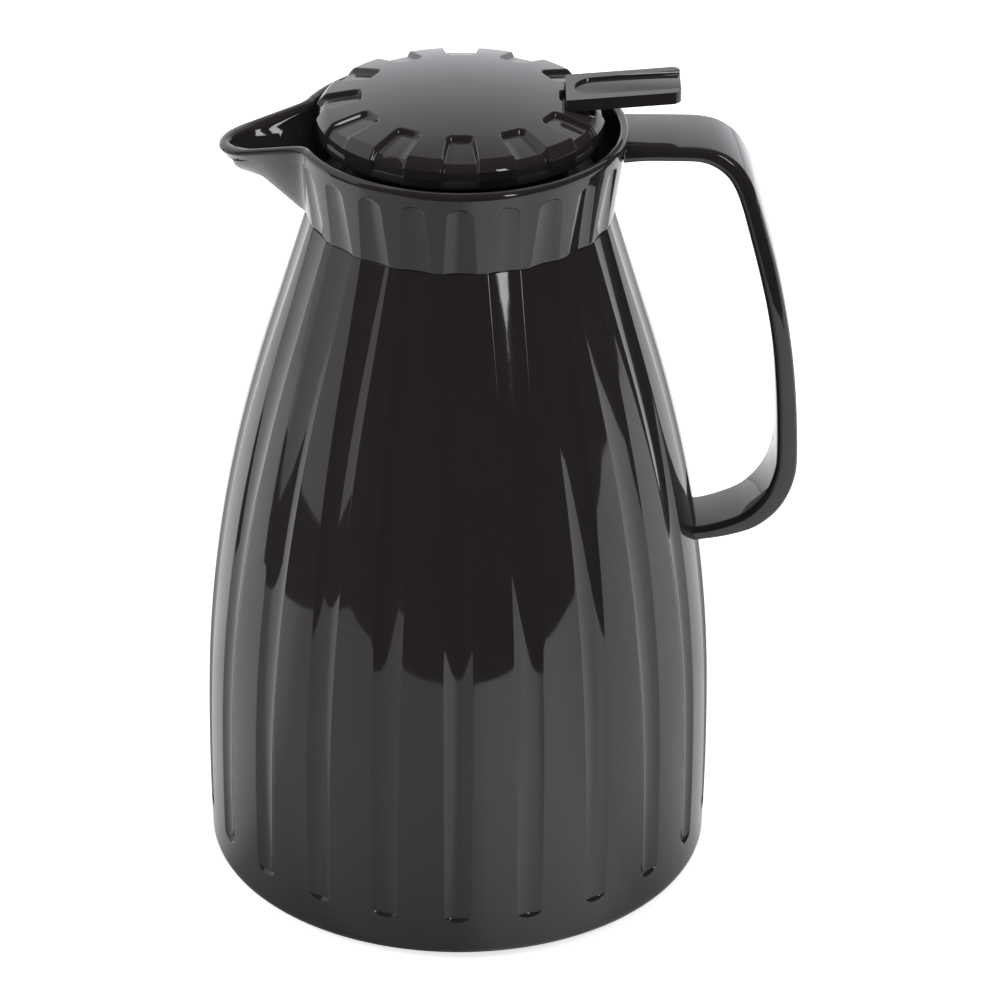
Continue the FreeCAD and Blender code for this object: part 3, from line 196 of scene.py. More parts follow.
DOME_LEVEL = 0.15
SOFTBOX_REACH = 2.4
# Painted falloff of the softbox reflection, from its foot to its upper edge.
SOFTBOX_PAINTED_FALLOFF = [(0.0, 1.0), (0.26, 0.95), (0.5, 0.86), (0.7, 0.64), (0.79, 0.36), (0.88, 0.25)]


def softbox_reflection_colour(tree):
    """Painted softbox reflection: white cloth with a painted falloff towards its upper edge."""
    apart = add(tree, "ShaderNodeSeparateXYZ", {"Vector": add(tree, "ShaderNodeTexCoord").outputs["Object"]})
    up_share = add(tree, "ShaderNodeMapRange", {"Value": apart.outputs["Z"]},
                   From_Min=DOME_LEVEL, From_Max=DOME_LEVEL + SOFTBOX_REACH)
    return grey_ramp(tree, up_share.outputs["Result"], SOFTBOX_PAINTED_FALLOFF, 1.05)


# Painted reflections: the dark and glowing materials of the cards, seen only in the gloss.
painted_dark_cards = glowing("painted_dark_reflection", 1.0, dark_reflection_colour)
painted_window_card = glowing("painted_window_reflection", 7.5)
painted_softbox_card = glowing("painted_softbox_reflection", 1.3, softbox_reflection_colour)


def dome_card(name, columns, reach, material, steps=10):
    """A card bent on a sphere: each column holds the directions of its low and high end."""
    verts = []
    for low_turn, low_rise, high_turn, high_rise in columns:
        for step in range(steps + 1):
            share = step / steps
            turn = math.radians(low_turn + (high_turn - low_turn) * share)
            rise = math.radians(low_rise + (high_rise - low_rise) * share)
            out = reach * math.cos(rise)
            verts.append((out * math.cos(turn), out * math.sin(turn), DOME_LEVEL + reach * math.sin(rise)))
    faces = []
    for column in range(len(columns) - 1):
        for step in range(steps):
            a = column * (steps + 1) + step
            faces.append((a, a + 1, a + steps + 2, a + steps + 1))
    mesh = bpy.data.meshes.new(name)
    mesh.from_pydata(verts, [], faces)
    mesh.materials.append(material)
    card = bpy.data.objects.new(name, mesh)
    scene.collection.objects.link(card)
    for kind in ("camera", "diffuse", "shadow", "transmission", "volume_scatter"):
        setattr(card, "visible_" + kind, False)


# Painted dark reflection: black cards in front, overhead and low on the left, seen only in the gloss.
CLOTH_REACH = 2.6
CLOTH_START = -159.0
CLOTH_SWEEP = 196.0
CLOTH_LEAN = 9.0
CLOTH_LOW = -70.0
CLOTH_TOP = 68.0
CLOTH_STEPS = 40
LEAN_STEPS = 10
front_columns = []
for step in range(CLOTH_STEPS + 1):
    turn = CLOTH_START + CLOTH_SWEEP * step / CLOTH_STEPS
    lean = CLOTH_LEAN * max(1.0 - step / LEAN_STEPS, 0.0)
    front_columns.append((turn + lean, CLOTH_LOW, turn - lean, CLOTH_TOP))
over_columns = [(9.0 * step, CLOTH_TOP, 9.0 * step, 89.9) for step in range(CLOTH_STEPS + 1)]
low_columns = [(turn, -60.0, turn, -9.0) for turn in range(-215, -150, 8)]
# The window card is a painted reflection: it glows only in the gloss, lights nothing and draws the bright
# streak in one flute.
window_columns = [(-61.0, 8.0, -61.0, 34.0), (-57.0, 6.6, -57.0, 34.0), (-53.0, 8.0, -53.0, 34.0)]
back_columns = [(turn, -4.0, turn, 62.0) for turn in range(38, 143, 8)]
dome_card("dark_front", front_columns, CLOTH_REACH, painted_dark_cards)
dome_card("dark_over", over_columns, CLOTH_REACH, painted_dark_cards)
dome_card("dark_low_left", low_columns, 2.5, painted_dark_cards)
dome_card("pale_window", window_columns, 2.2, painted_window_card)
dome_card("back_softbox", back_columns, SOFTBOX_REACH, painted_softbox_card)


def soft_light(name, power, width, height, place, aim):
    """A rectangular studio light that the gloss doesn't mirror."""
    data = bpy.data.lights.new(name, "AREA")
    data.shape = "RECTANGLE"
    data.size = width
    data.size_y = height
    data.energy = power
    lamp = bpy.data.objects.new(name, data)
    lamp.visible_glossy = False
    lamp.location = place
    lamp.rotation_euler = (Vector(aim) - Vector(place)).to_track_quat("-Z", "Y").to_euler()
    scene.collection.objects.link(lamp)


# Power in watts, then width and height, place and aim in metres.
soft_light("top_box", 14.0, 1.2, 0.8, (0.2, 0.5, 2.0), (0.0, 0.0, 0.1))
soft_light("left_box", 12.0, 0.5, 1.2, (-1.5, -0.5, 1.0), (0.0, 0.0, 0.12))
soft_light("right_box", 8.0, 0.3, 1.0, (1.5, -0.2, 1.0), (0.0, 0.0, 0.12))


# Body shell: moulded ABS with 22 flutes
# The shell is injection moulded in a polished tool, open below, and carries the collar. Every
# flute is a shallow hollow arc with a crisp edge, narrower and deeper towards the base, and
# ends in a short steep scoop.
def gloss_abs(name, code, roughness, swell):
    """Black gloss ABS: nearly a mirror, with a faint orange-peel swell and fine rub marks."""
    material, tree, output = new_material(name)
    position = add(tree, "ShaderNodeTexCoord").outputs["Object"]
    slow = add(tree, "ShaderNodeTexNoise", {"Vector": position}, Scale=45.0, Detail=2.0)
    fine = add(tree, "ShaderNodeTexNoise", {"Vector": position}, Scale=900.0, Detail=4.0)
    rub = add(tree, "ShaderNodeMapRange", {"Value": fine.outputs["Fac"]}, From_Min=0.35, From_Max=0.75,
              To_Min=roughness * 0.8, To_Max=roughness * 1.5)
    wave = add(tree, "ShaderNodeBump", {"Height": slow.outputs["Fac"]}, Strength=swell, Distance=0.0004)
    paler = [v * 1.12 for v in linear(code)[:3]] + [1.0]
    tint = two_tone(tree, slow.outputs["Fac"], linear(code), paler)
    shader = add(tree, "ShaderNodeBsdfPrincipled",
                 {"Base Color": tint, "Roughness": rub.outputs["Result"], "Normal": wave.outputs["Normal"]},
                 IOR=1.56)
    tree.links.new(shader.outputs["BSDF"], output.inputs["Surface"])
    return material


black_abs = gloss_abs("black_gloss_abs_moulded", "2D292A", 0.045, 0.12)
MM = 0.001
# Radius and height of each knot, then of the middle of the arc to the next one.
BODY_OUTLINE = [
    (70.4, 1.5, 73.3, 2.3), (74.54, 4.4, 75.0, 31.19), (74.65, 57.98, 71.54, 97.84),
    (64.5, 137.49, 59.2, 158.4), (52.97, 179.07, 48.5, 193.58), (44.0, 208.2, None, None),
]
FLUTES = 22
PITCH = 2.0 * math.pi / FLUTES
FLUTE_WIDTH = 9.5
FLUTE_LOW_SHARE = 0.80
FLUTE_EDGE = 0.16
FLUTE_LOW = 13.5
FLUTE_END = 2.6
END_SLOPE = 0.9
ROUND_SHARE = 0.26
FLUTE_WIDE_FROM = 15.7
FLUTE_WIDE_OVER = 192.5
FLUTE_SHALLOW_FROM = 90.0
FLUTE_SHALLOW_OVER = 110.0
FLUTE_LOW_DEPTH = 1.0
FLUTE_HIGH_DEPTH = 0.5
LAND_STEPS = [0.12, 0.4, 0.72]
LEAST_STEP = 0.02
ARC_STEPS = 40
SHELL_WALL = 3.6
NECK_WALL = 3.4
BASE_LIP_RADIUS = 66.4
BASE_LIP_LEVEL = 4.4
SHELL_LOW = 1.5
WAIST_RADIUS = 44.0
WAIST_LEVEL = 208.2


def finish_piece(name, mesh, material, body, *nodes, slot="black_gloss"):
    """Links a mesh as a piece that stands for CAD nodes."""
    piece = bpy.data.objects.new(name, mesh)
    scene.collection.objects.link(piece)
    mesh.materials.clear()
    mesh.materials.append(material)
    for polygon in mesh.polygons:
        polygon.use_smooth = True
    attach(piece, body)
    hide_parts(*nodes)
    return piece


def ring_mesh(name, rows, closed_rows=False):
    """A mesh from rows of points that each run once round the axis."""
    count = len(rows[0])
    verts = [point for row in rows for point in row]
    faces = []
    last = len(rows) if closed_rows else len(rows) - 1
    for r in range(last):
        a = r * count
        b = ((r + 1) % len(rows)) * count
        for c in range(count):
            d = (c + 1) % count
            faces.append((a + c, a + d, b + d, b + c))
    mesh = bpy.data.meshes.new(name)
    mesh.from_pydata(verts, [], faces)
    mesh.update()
    return mesh


def ring_point(radius, angle, level):
    """A point in metres at a radius, an angle and a height, lengths in mm."""
    return (radius * MM * math.cos(angle), radius * MM * math.sin(angle), level * MM)


def arc_points(a, m, b, count):
    """Points of the arc from a to b through m, without the last one."""
    ax, ay, bx, by, cx, cy = a[0], a[1], m[0], m[1], b[0], b[1]
    aa, bb, cc = ax * ax + ay * ay, bx * bx + by * by, cx * cx + cy * cy
    d = 2.0 * (ax * (by - cy) + bx * (cy - ay) + cx * (ay - by))
    ux = (aa * (by - cy) + bb * (cy - ay) + cc * (ay - by)) / d
    uy = (aa * (cx - bx) + bb * (ax - cx) + cc * (bx - ax)) / d
    start = math.atan2(ay - uy, ax - ux)
    sweep = math.atan2(cy - uy, cx - ux) - start
    sweep = (sweep + math.pi) % (2.0 * math.pi) - math.pi
    radius = math.hypot(ax - ux, ay - uy)
    turns = [start + sweep * i / count for i in range(count)]
    return [(ux + radius * math.cos(turn), uy + radius * math.sin(turn)) for turn in turns]


outline_points = []
for here, there in zip(BODY_OUTLINE, BODY_OUTLINE[1:]):
    outline_points += arc_points(here[:2], here[2:], there[:2], ARC_STEPS)
outline_points.append(BODY_OUTLINE[-1][:2])


def body_radius(level):
    """Outer radius of the body in mm at a height in mm."""
    for (r0, z0), (r1, z1) in zip(outline_points, outline_points[1:]):
        if z0 <= level <= z1:
            return r0 + (r1 - r0) * (level - z0) / (z1 - z0)
    return outline_points[-1][0] if level > SHELL_LOW else outline_points[0][0]


def held(share):
    """A share kept between 0 and 1."""
    return min(max(share, 0.0), 1.0)


def rounded_step(share):
    """0 outside, 1 inside, straight between, with small roundings at both ends."""
    e = ROUND_SHARE
    if share <= -e:
        return 0.0
    if share < e:
        return (share + e) ** 2 / (4.0 * e)
    if share <= 1.0 - e:
        return share
    if share < 1.0 + e:
        return 1.0 - (1.0 + e - share) ** 2 / (4.0 * e)
    return 1.0


def spaced(values, last):
    """The values, each at least a small step past the one before."""
    columns = []
    for value in values:
        last = max(value, last + LEAST_STEP)
        columns.append(last)
    return columns


def mirrored(half, pitch, land_steps):
    """Columns of one pitch from those of its right half: angle and depth of each."""
    edge = half[-1][0]
    half = half + [(edge + (pitch / 2.0 - edge) * step, 0.0) for step in land_steps]
    return [(-a, d) for a, d in reversed(half[1:])] + half + [(pitch / 2.0, 0.0)]


def flute_columns(width):
    """Distances from the flute's middle at which a row has its columns."""
    edge = min(FLUTE_EDGE, width * 0.3)
    spread = [width * share for share in (0.0, 0.2, 0.4, 0.58, 0.74, 0.87)]
    spread += [width - edge * 2.2, width - edge, width - edge * 0.35, width + edge * 0.35, width + edge]
    return spaced(spread, -LEAST_STEP)


def end_width(past, end_length, half_width):
    """Half width of a flute at a distance inside the far end of its rounded end."""
    if past >= end_length:
        return half_width
    share = 1.0 - max(past, 0.0) / end_length
    return half_width * math.sqrt(max(1.0 - share * share, 0.0))


def flute_depth(across, past, end_length, half_width, full):
    """Depth of the flute at a point; past is the distance from the flute's very end."""
    share = across / half_width
    edge = FLUTE_EDGE
    if across <= half_width - edge:
        depth = full * (1.0 - share * share)
    elif across < half_width + edge:
        depth = 2.0 * full / half_width / (4.0 * edge) * (half_width + edge - across) ** 2
    else:
        return 0.0
    inside = past - end_length * (1.0 - math.sqrt(max(1.0 - share * share, 0.0)))
    return max(min(depth, inside * END_SLOPE), 0.0)


def flute_pattern(radius, past, end_length, half_width, full):
    """Middle of the flute, angle from it and depth, for each column of a row."""
    columns = flute_columns(end_width(past, end_length, half_width))
    half = [(math.asin(v / radius), flute_depth(v, past, end_length, half_width, full)) for v in columns]
    signed = mirrored(half, PITCH, LAND_STEPS)
    middles = [-math.pi / 2.0 + flute * PITCH for flute in range(FLUTES)]
    return [(middle, angle, depth) for middle in middles for angle, depth in signed]


def fluted_row(level):
    """One closed row of points round the body."""
    swell = FLUTE_LOW_SHARE + (1.0 - FLUTE_LOW_SHARE) * held((level - FLUTE_WIDE_FROM) / FLUTE_WIDE_OVER)
    loss = (FLUTE_LOW_DEPTH - FLUTE_HIGH_DEPTH) * held((level - FLUTE_SHALLOW_FROM) / FLUTE_SHALLOW_OVER)
    radius = body_radius(level)
    pattern = flute_pattern(radius, level - FLUTE_LOW, FLUTE_END, FLUTE_WIDTH * swell / 2.0,
                            FLUTE_LOW_DEPTH - loss)
    return [ring_point(radius - depth, middle + angle, level) for middle, angle, depth in pattern]


# Rows lie close where the outline turns or a flute ends, and 6 mm apart elsewhere.
levels = [SHELL_LOW, 1.62, 1.85, 2.3, 2.9, 3.6, 4.4, 6.0, 8.0, 10.0, 12.0, 13.0, 13.4]
levels += [FLUTE_LOW + v for v in (
    0.0, 0.02, 0.06, 0.13, 0.22, 0.34, 0.48, 0.64, 0.82, 1.0, 1.2, 1.4, 1.6, 1.8, 2.0, 2.2, 2.4, 2.6,
    2.9, 3.3, 3.8, 4.5, 5.5, 7.0, 9.0, 12.0, 15.0)]
levels += [33.0 + 6.0 * i for i in range(29)]
levels = [v for v in levels if v < 206.0] + [207.9, 208.12, WAIST_LEVEL]
rows = [fluted_row(level) for level in levels]
neck_share = 1.0 - NECK_WALL / WAIST_RADIUS
inside = [[(x * neck_share, y * neck_share, z) for x, y, z in rows[-1]]]
angles = [math.atan2(y, x) for x, y, z in rows[-1]]
inner_steps = [(body_radius(level) - SHELL_WALL, level) for level in (190.0, 160.0, 120.0, 80.0, 40.0, 6.0)]
for radius, level in inner_steps + [(BASE_LIP_RADIUS, BASE_LIP_LEVEL), (BASE_LIP_RADIUS, SHELL_LOW)]:
    inside.append([ring_point(radius, angle, level) for angle in angles])
shell_mesh = ring_mesh("body_shell_skin", rows + inside, True)
finish_piece("body_shell_skin", shell_mesh, black_abs, "server", "body_shell")


# Collar with beak: one ABS moulding above the crease
# The ring flares to a rounded rim. Its short channels continue those of the body, and the
# wall runs out over the pouring side into a V-shaped beak with a rounded lip. It is fixed
# into the top of the shell.
RIM_RADIUS = 47.8
RIM_LEVEL = 233.1
RIM_BEAD = 2.8
RIM_INNER = 45.0
FLOOR_INNER = 41.2
FLOOR_SHARE = 0.24
INNER_TAPER = 1.25
FLOOR_LEVEL = 214.0
COLLAR_HOLLOW = 0.175
COLLAR_FLUTE_TOP = 229.8
COLLAR_FLUTE_LOSS = 2.4
COLLAR_FLUTE_DEPTH = 0.7
COLLAR_END = 3.0
BEAK_TIP = 68.5
BEAK_START = 43.8
BEAK_FULLNESS = 0.85
BEAK_SIDE_WALL = 0.9
BEAK_KEEL_WALL = 1.2
BEAK_BLEND = 3.0
BEAK_INNER_BLEND = 2.0
BEAK_TURN = 0.75
BEAK_CLEAR = math.radians(24.0)
HANDLE_CLEAR = math.radians(12.0)
# The beak along its length: place and half width, place and height of the lip, and the keel's
# height and distance from the axis.
BEAK_HALF = [(-36.0, 19.4), (-45.3, 16.0), (-49.8, 14.4), (-54.2, 12.7), (-59.8, 10.7), (-63.8, 9.0),
             (-66.0, 7.4), (-67.6, 4.9), (-68.3, 2.6), (-68.5, 0.0)]
BEAK_LIP = [(-36.0, 233.1), (-45.3, 232.9), (-49.8, 232.1), (-54.2, 231.1), (-59.8, 229.8),
            (-63.8, 228.9), (-68.5, 227.9)]
BEAK_KEEL = [(200.0, 38.5), (207.5, 45.2), (213.1, 51.25), (218.2, 56.8), (219.1, 58.6), (219.8, 61.9),
             (220.6, 63.8), (222.0, 64.5), (223.0, 64.9), (224.0, 66.1), (226.0, 67.6), (227.9, 68.5)]


def between(pairs, value):
    """Straight-line lookup in a rising or falling list of pairs."""
    rising = pairs[0][0] < pairs[-1][0]
    ordered = pairs if rising else pairs[::-1]
    if value <= ordered[0][0]:
        return ordered[0][1]
    for (x0, y0), (x1, y1) in zip(ordered, ordered[1:]):
        if value <= x1:
            return y0 + (y1 - y0) * (value - x0) / (x1 - x0)
    return ordered[-1][1]


def beak_side(angle, inset, share_at):
    """Distance from the axis to the beak's side, by halving the gap until it meets it."""
    low, high = 20.0, BEAK_TIP - inset
    for _ in range(40):
        reach = (low + high) / 2.0
        across = between(BEAK_HALF, -min(reach + inset, BEAK_TIP)) - inset * BEAK_SIDE_WALL
        if reach * math.tan(abs(angle)) < across * share_at(reach):
            low = reach
        else:
            high = reach
    return low / math.cos(angle)


def beak_reach(angle, level, inset):
    """Distance from the axis to the beak's side at an angle and a height."""
    keel = [(reach, height) for height, reach in BEAK_KEEL]

    def side_share(reach):
        lip = between(BEAK_LIP, -reach)
        keel_level = between(keel, min(reach + inset * BEAK_KEEL_WALL, BEAK_TIP))
        if level >= lip:
            return 1.0
        if level <= keel_level:
            return 0.0
        return ((level - keel_level) / max(lip - keel_level, 0.01)) ** BEAK_FULLNESS

    return beak_side(angle, inset, side_share)


def beak_turn(angle):
    """The angle from the beak's direction."""
    turned = (angle - math.pi) % (2.0 * math.pi)
    return turned - 2.0 * math.pi if turned > math.pi else turned


def smooth_larger(a, b, blend):
    """The larger of two values, blended over a distance."""
    share = max(blend - abs(a - b), 0.0) / blend
    return max(a, b) + share * share * blend * 0.25


def collar_radius(level):
    """Outer radius of the collar without its channels, slightly hollow."""
    share = (level - WAIST_LEVEL) / (RIM_LEVEL - WAIST_LEVEL)
    hollow = COLLAR_HOLLOW * 4.0 * share * (1.0 - share)
    return WAIST_RADIUS + (RIM_RADIUS - WAIST_RADIUS) * share - hollow


def has_channel(middle):
    """No channel next to the beak and at the handle's root."""
    from_handle = abs((middle + math.pi) % (2.0 * math.pi) - math.pi)
    return abs(beak_turn(middle)) >= BEAK_CLEAR and from_handle >= HANDLE_CLEAR


def collar_pattern(level):
    """Angle and channel depth of each column at a height."""
    share = held((level - WAIST_LEVEL) / (COLLAR_FLUTE_TOP - WAIST_LEVEL))
    half_width = (FLUTE_WIDTH - COLLAR_FLUTE_LOSS * share) / 2.0
    pattern = flute_pattern(collar_radius(level), COLLAR_FLUTE_TOP - level, COLLAR_END, half_width,
                            COLLAR_FLUTE_DEPTH)
    return [(middle + angle, depth if has_channel(middle) else 0.0) for middle, angle, depth in pattern]


outer_shares = [
    0.0, 0.03, 0.1, 0.2, 0.3, 0.4, 0.5, 0.6, 0.68, 0.73, 0.755, 0.775, 0.79, 0.803, 0.814, 0.824, 0.834,
    0.843, 0.851, 0.858, 0.8635, 0.8665, 0.8674, 0.872, 0.89, 0.93, 0.96, 1.0]
rows = []
for share in outer_shares:
    level = WAIST_LEVEL + (RIM_LEVEL - WAIST_LEVEL) * share
    row = []
    for angle, depth in collar_pattern(level):
        from_beak = beak_turn(angle)
        radius = collar_radius(level) - depth
        height = level
        if abs(from_beak) < BEAK_TURN:
            plan = beak_side(from_beak, 0.0, lambda reach: 1.0)
            top = RIM_LEVEL
            if plan > BEAK_START:
                top = between(BEAK_LIP, -plan * math.cos(from_beak))
            height = WAIST_LEVEL + (top - WAIST_LEVEL) * share
            side = beak_reach(from_beak, height, 0.0)
            radius = smooth_larger(collar_radius(height) - depth, side, BEAK_BLEND)
        row.append(ring_point(radius, angle, height))
    rows.append(row)
angles = [angle for angle, depth in collar_pattern(RIM_LEVEL)]
inner_rows = []
for share in (1.0, 0.93, 0.85, 0.75, 0.65, 0.55, 0.45, 0.35, 0.28, FLOOR_SHARE):
    row = []
    for angle, rim_point in zip(angles, rows[-1]):
        from_beak = beak_turn(angle)
        height = WAIST_LEVEL + (RIM_LEVEL - WAIST_LEVEL) * share
        radius = RIM_INNER - (RIM_INNER - FLOOR_INNER) * (1.0 - share) * INNER_TAPER
        if abs(from_beak) < BEAK_TURN:
            top = rim_point[2] / MM
            height = FLOOR_LEVEL + (top - FLOOR_LEVEL) * (share - FLOOR_SHARE) / (1.0 - FLOOR_SHARE)
            radius = smooth_larger(radius, beak_reach(from_beak, height, RIM_BEAD), BEAK_INNER_BLEND)
        row.append(ring_point(radius, angle, height))
    inner_rows.append(row)
BEAD_STEPS = 8
bead_rows = []
for step in range(1, BEAD_STEPS):
    bend = math.pi * step / BEAD_STEPS
    row = []
    for outer_point, inner_point in zip(rows[-1], inner_rows[0]):
        a = Vector(outer_point)
        b = Vector(inner_point)
        half = (a - b) / 2.0
        rise = min(half.length, RIM_BEAD * MM / 2.0)
        row.append(tuple((a + b) / 2.0 + half * math.cos(bend) + Vector((0, 0, rise * math.sin(bend)))))
    bead_rows.append(row)
floor_rows = []
for radius, level in ((41.7, 214.4), (41.65, 212.0), (41.65, WAIST_LEVEL)):
    floor_rows.append([ring_point(radius, angle, level) for angle in angles])
collar_mesh = ring_mesh("collar_skin", rows + bead_rows + inner_rows + floor_rows, True)
finish_piece("collar_skin", collar_mesh, black_abs, "server", "collar")


# Handle: flat strap, moulded ABS, with rounded long edges
# It leaves the collar level with the rim, turns down in an even curve and comes back to the
# body's side, where a screw from inside the shell holds it.
STRAP_OUTER = [
    (46.0, 232.9), (52.0, 232.8), (60.0, 232.8), (68.4, 232.5), (74.2, 230.9), (79.0, 227.2),
    (82.6, 221.4), (84.9, 214.7), (86.8, 208.4), (90.3, 195.7), (93.2, 182.8), (95.5, 169.9),
    (97.1, 156.8), (98.1, 143.5), (98.5, 132.0), (97.9, 126.0), (95.9, 119.9), (92.3, 114.2),
    (86.5, 109.4), (79.0, 106.7), (71.5, 105.2), (66.0, 104.4)]
STRAP_INNER = [
    (46.0, 227.6), (52.0, 228.2), (60.0, 228.2), (67.2, 228.0), (71.6, 226.5), (75.4, 223.4),
    (78.0, 219.0), (80.0, 213.4), (81.8, 207.0), (85.1, 194.5), (88.0, 181.9), (90.1, 169.5),
    (91.4, 156.5), (92.2, 143.5), (92.4, 133.0), (91.8, 127.8), (90.2, 122.6), (87.3, 118.0),
    (83.0, 114.0), (77.2, 111.4), (71.5, 109.8), (66.0, 109.2)]
STRAP_WIDTH = [(0, 25.0), (10, 25.0), (16, 22.6), (21, 20.0)]
STRAP_ROUND = 1.7
STRAP_STEPS = 5


def through(points, count):
    """A smooth line through points, by Catmull-Rom pieces."""
    line = []
    padded = [points[0]] + list(points) + [points[-1]]
    for i in range(1, len(padded) - 2):
        p0, p1, p2, p3 = (Vector(p) for p in padded[i - 1:i + 3])
        for step in range(count):
            t = step / count
            line.append(0.5 * ((2 * p1) + (p2 - p0) * t + (2 * p0 - 5 * p1 + 4 * p2 - p3) * t * t
                               + (3 * p1 - p0 - 3 * p2 + p3) * t ** 3))
    line.append(Vector(points[-1]))
    return line


sections = []
for index, (out, inn) in enumerate(zip(through(STRAP_OUTER, STRAP_STEPS), through(STRAP_INNER, STRAP_STEPS))):
    half = between(STRAP_WIDTH, index / STRAP_STEPS) / 2.0
    middle = (out + inn) / 2.0
    across = out - inn
    thick = across.length / 2.0
    across.normalize()
    r = min(STRAP_ROUND, thick * 0.8)
    section = []
    for cx, cy, start in ((1, 1, 0), (-1, 1, 90), (-1, -1, 180), (1, -1, 270)):
        for step in range(5):
            angle = math.radians(start + 22.5 * step)
            side = cx * (half - r) + r * math.cos(angle)
            point = middle + across * (cy * (thick - r) + r * math.sin(angle))
            section.append((point.x * MM, side * MM, point.y * MM))
    sections.append(section)
count = len(sections[0])
verts = [p for s in sections for p in s]
faces = [(i * count + j, i * count + (j + 1) % count, (i + 1) * count + (j + 1) % count, (i + 1) * count + j)
         for i in range(len(sections) - 1) for j in range(count)]
faces.append(tuple(range(count)))
faces.append(tuple(reversed(range(len(verts) - count, len(verts)))))
handle_mesh = bpy.data.meshes.new("handle_strap")
handle_mesh.from_pydata(verts, [], faces)
handle_mesh.update()
finish_piece("handle_strap", handle_mesh, black_abs, "server", "handle")


# Lid cap: domed disc with grip notches, a rounded shoulder and a stepped skirt
# One gloss ABS moulding, screwed to the stopper from below. Twelve notches follow the dome and
# run down over the shoulder; the dome meets the shoulder in a soft crease. A slot at the
# handle side holds the lever's hub.
NOTCHES = 12
NOTCH_PITCH = 2.0 * math.pi / NOTCHES
NOTCH_TIP = 27.9
NOTCH_CORNER = 2.4
NOTCH_SIDE = 0.8
NOTCH_DEPTH = 1.6
NOTCH_HALF = [(30.0, 4.1), (41.0, 5.45)]
LID_EDGE = 241.15
LID_DOME = 38.7
LID_CROWN = 4.9


def notch_edge(reach, inset):
    """Half width of a notch, inset from its edge, with a flat tip and rounded corners."""
    past = reach - NOTCH_TIP
    if past >= NOTCH_CORNER:
        return between(NOTCH_HALF, reach) - inset
    round_reach = NOTCH_CORNER - inset
    drop = NOTCH_CORNER - past
    if drop >= round_reach:
        return 0.0
    return between(NOTCH_HALF, reach) - NOTCH_CORNER + math.sqrt(round_reach ** 2 - drop ** 2)


def notch_inset(reach, across):
    """How far a point lies inside a notch."""
    past = reach - NOTCH_TIP
    flat_half = between(NOTCH_HALF, reach) - NOTCH_CORNER
    if past >= NOTCH_CORNER:
        return between(NOTCH_HALF, reach) - across
    if across <= flat_half:
        return past
    return NOTCH_CORNER - math.hypot(across - flat_half, NOTCH_CORNER - past)


# Each line of the outline holds radius and height of the surface, then of a notch's floor.
dome_reaches = [4.0, 9.0, 14.0, 19.0, 23.0, 26.0, 27.3] + [27.7 + 0.1 * i for i in range(14)]
dome_reaches += [29.3, 29.8, 30.3, 31.0, 32.0, 33.0, 34.0, 35.0, 36.0, 37.0, 37.8, 38.3, 38.58]
lid_lines = []
for reach in dome_reaches:
    level = LID_EDGE + LID_CROWN * (1.0 - (reach / LID_DOME) ** 2)
    lid_lines.append((reach, level, reach, level - NOTCH_DEPTH))
shoulder = arc_points((LID_DOME, 241.13), (39.85, 239.95), (40.95, 238.3), 10) + [(40.95, 238.3)]
sunk = arc_points((38.64, 239.5), (39.35, 238.7), (40.0, 237.5), 10) + [(40.0, 237.5)]
lid_lines += [a + b for a, b in zip(shoulder, sunk)]
lid_lines += [
    (41.1, 237.98, 40.1, 237.3), (41.08, 237.9, 40.1, 237.26), (40.94, 237.88, 40.1, 237.22),
    (40.9, 237.8, 40.1, 237.18), (40.9, 235.24, 40.1, 235.3), (40.87, 235.16, 40.1, 235.2),
    (40.54, 235.12, 40.3, 235.12), (40.5, 235.04, 40.5, 235.04), (40.5, 232.75, 40.5, 232.75),
    (40.35, 232.6, 40.35, 232.6), (38.9, 232.6, 38.9, 232.6)]
e = ROUND_SHARE
side_steps = [1.0 + e, 1.0, 1.0 - e, 0.5, e, 0.0, -e, -e * 2.0]
rows = []
for reach, level, low_reach, low_level in lid_lines:
    near = [notch_edge(reach, share * NOTCH_SIDE) for share in side_steps]
    half = []
    for across in [0.0, near[0] * 0.5] + spaced(near, near[0] * 0.5):
        sink = rounded_step(notch_inset(reach, across) / NOTCH_SIDE)
        angle = math.asin(min(across / reach, 0.99)) if reach > 20.0 else across / 30.0
        half.append((angle, sink))
    row = []
    for notch in range(NOTCHES):
        for angle, sink in mirrored(half, NOTCH_PITCH, (0.3, 0.65)):
            row.append(ring_point(reach + (low_reach - reach) * sink, notch * NOTCH_PITCH + angle,
                                  level + (low_level - level) * sink))
    rows.append(row)
angles = [math.atan2(p[1], p[0]) for p in rows[-1]]
for reach, level in ((38.8, 232.7), (38.8, 238.4), (30.0, 239.0), (12.0, 241.0)):
    rows.append([ring_point(reach, angle, level) for angle in angles])
lid_mesh = ring_mesh("lid_cap_skin", rows)
work = bmesh.new()
work.from_mesh(lid_mesh)
bmesh.ops.holes_fill(work, edges=[e for e in work.edges if e.is_boundary], sides=0)
bmesh.ops.recalc_face_normals(work, faces=work.faces)
work.to_mesh(lid_mesh)
work.free()
lid_piece = finish_piece("lid_cap_skin", lid_mesh, black_abs, "lid", "lid_cap")


def block_mesh(name, *blocks):
    """A mesh of boxes, each from its low and high corner in mm."""
    work = bmesh.new()
    for low_corner, high_corner in blocks:
        for vertex in bmesh.ops.create_cube(work, size=1.0)["verts"]:
            corner = zip(low_corner, high_corner, vertex.co)
            vertex.co = Vector([(lo + (hi - lo) * (c + 0.5)) * MM for lo, hi, c in corner])
    mesh = bpy.data.meshes.new(name)
    work.to_mesh(mesh)
    work.free()
    return mesh


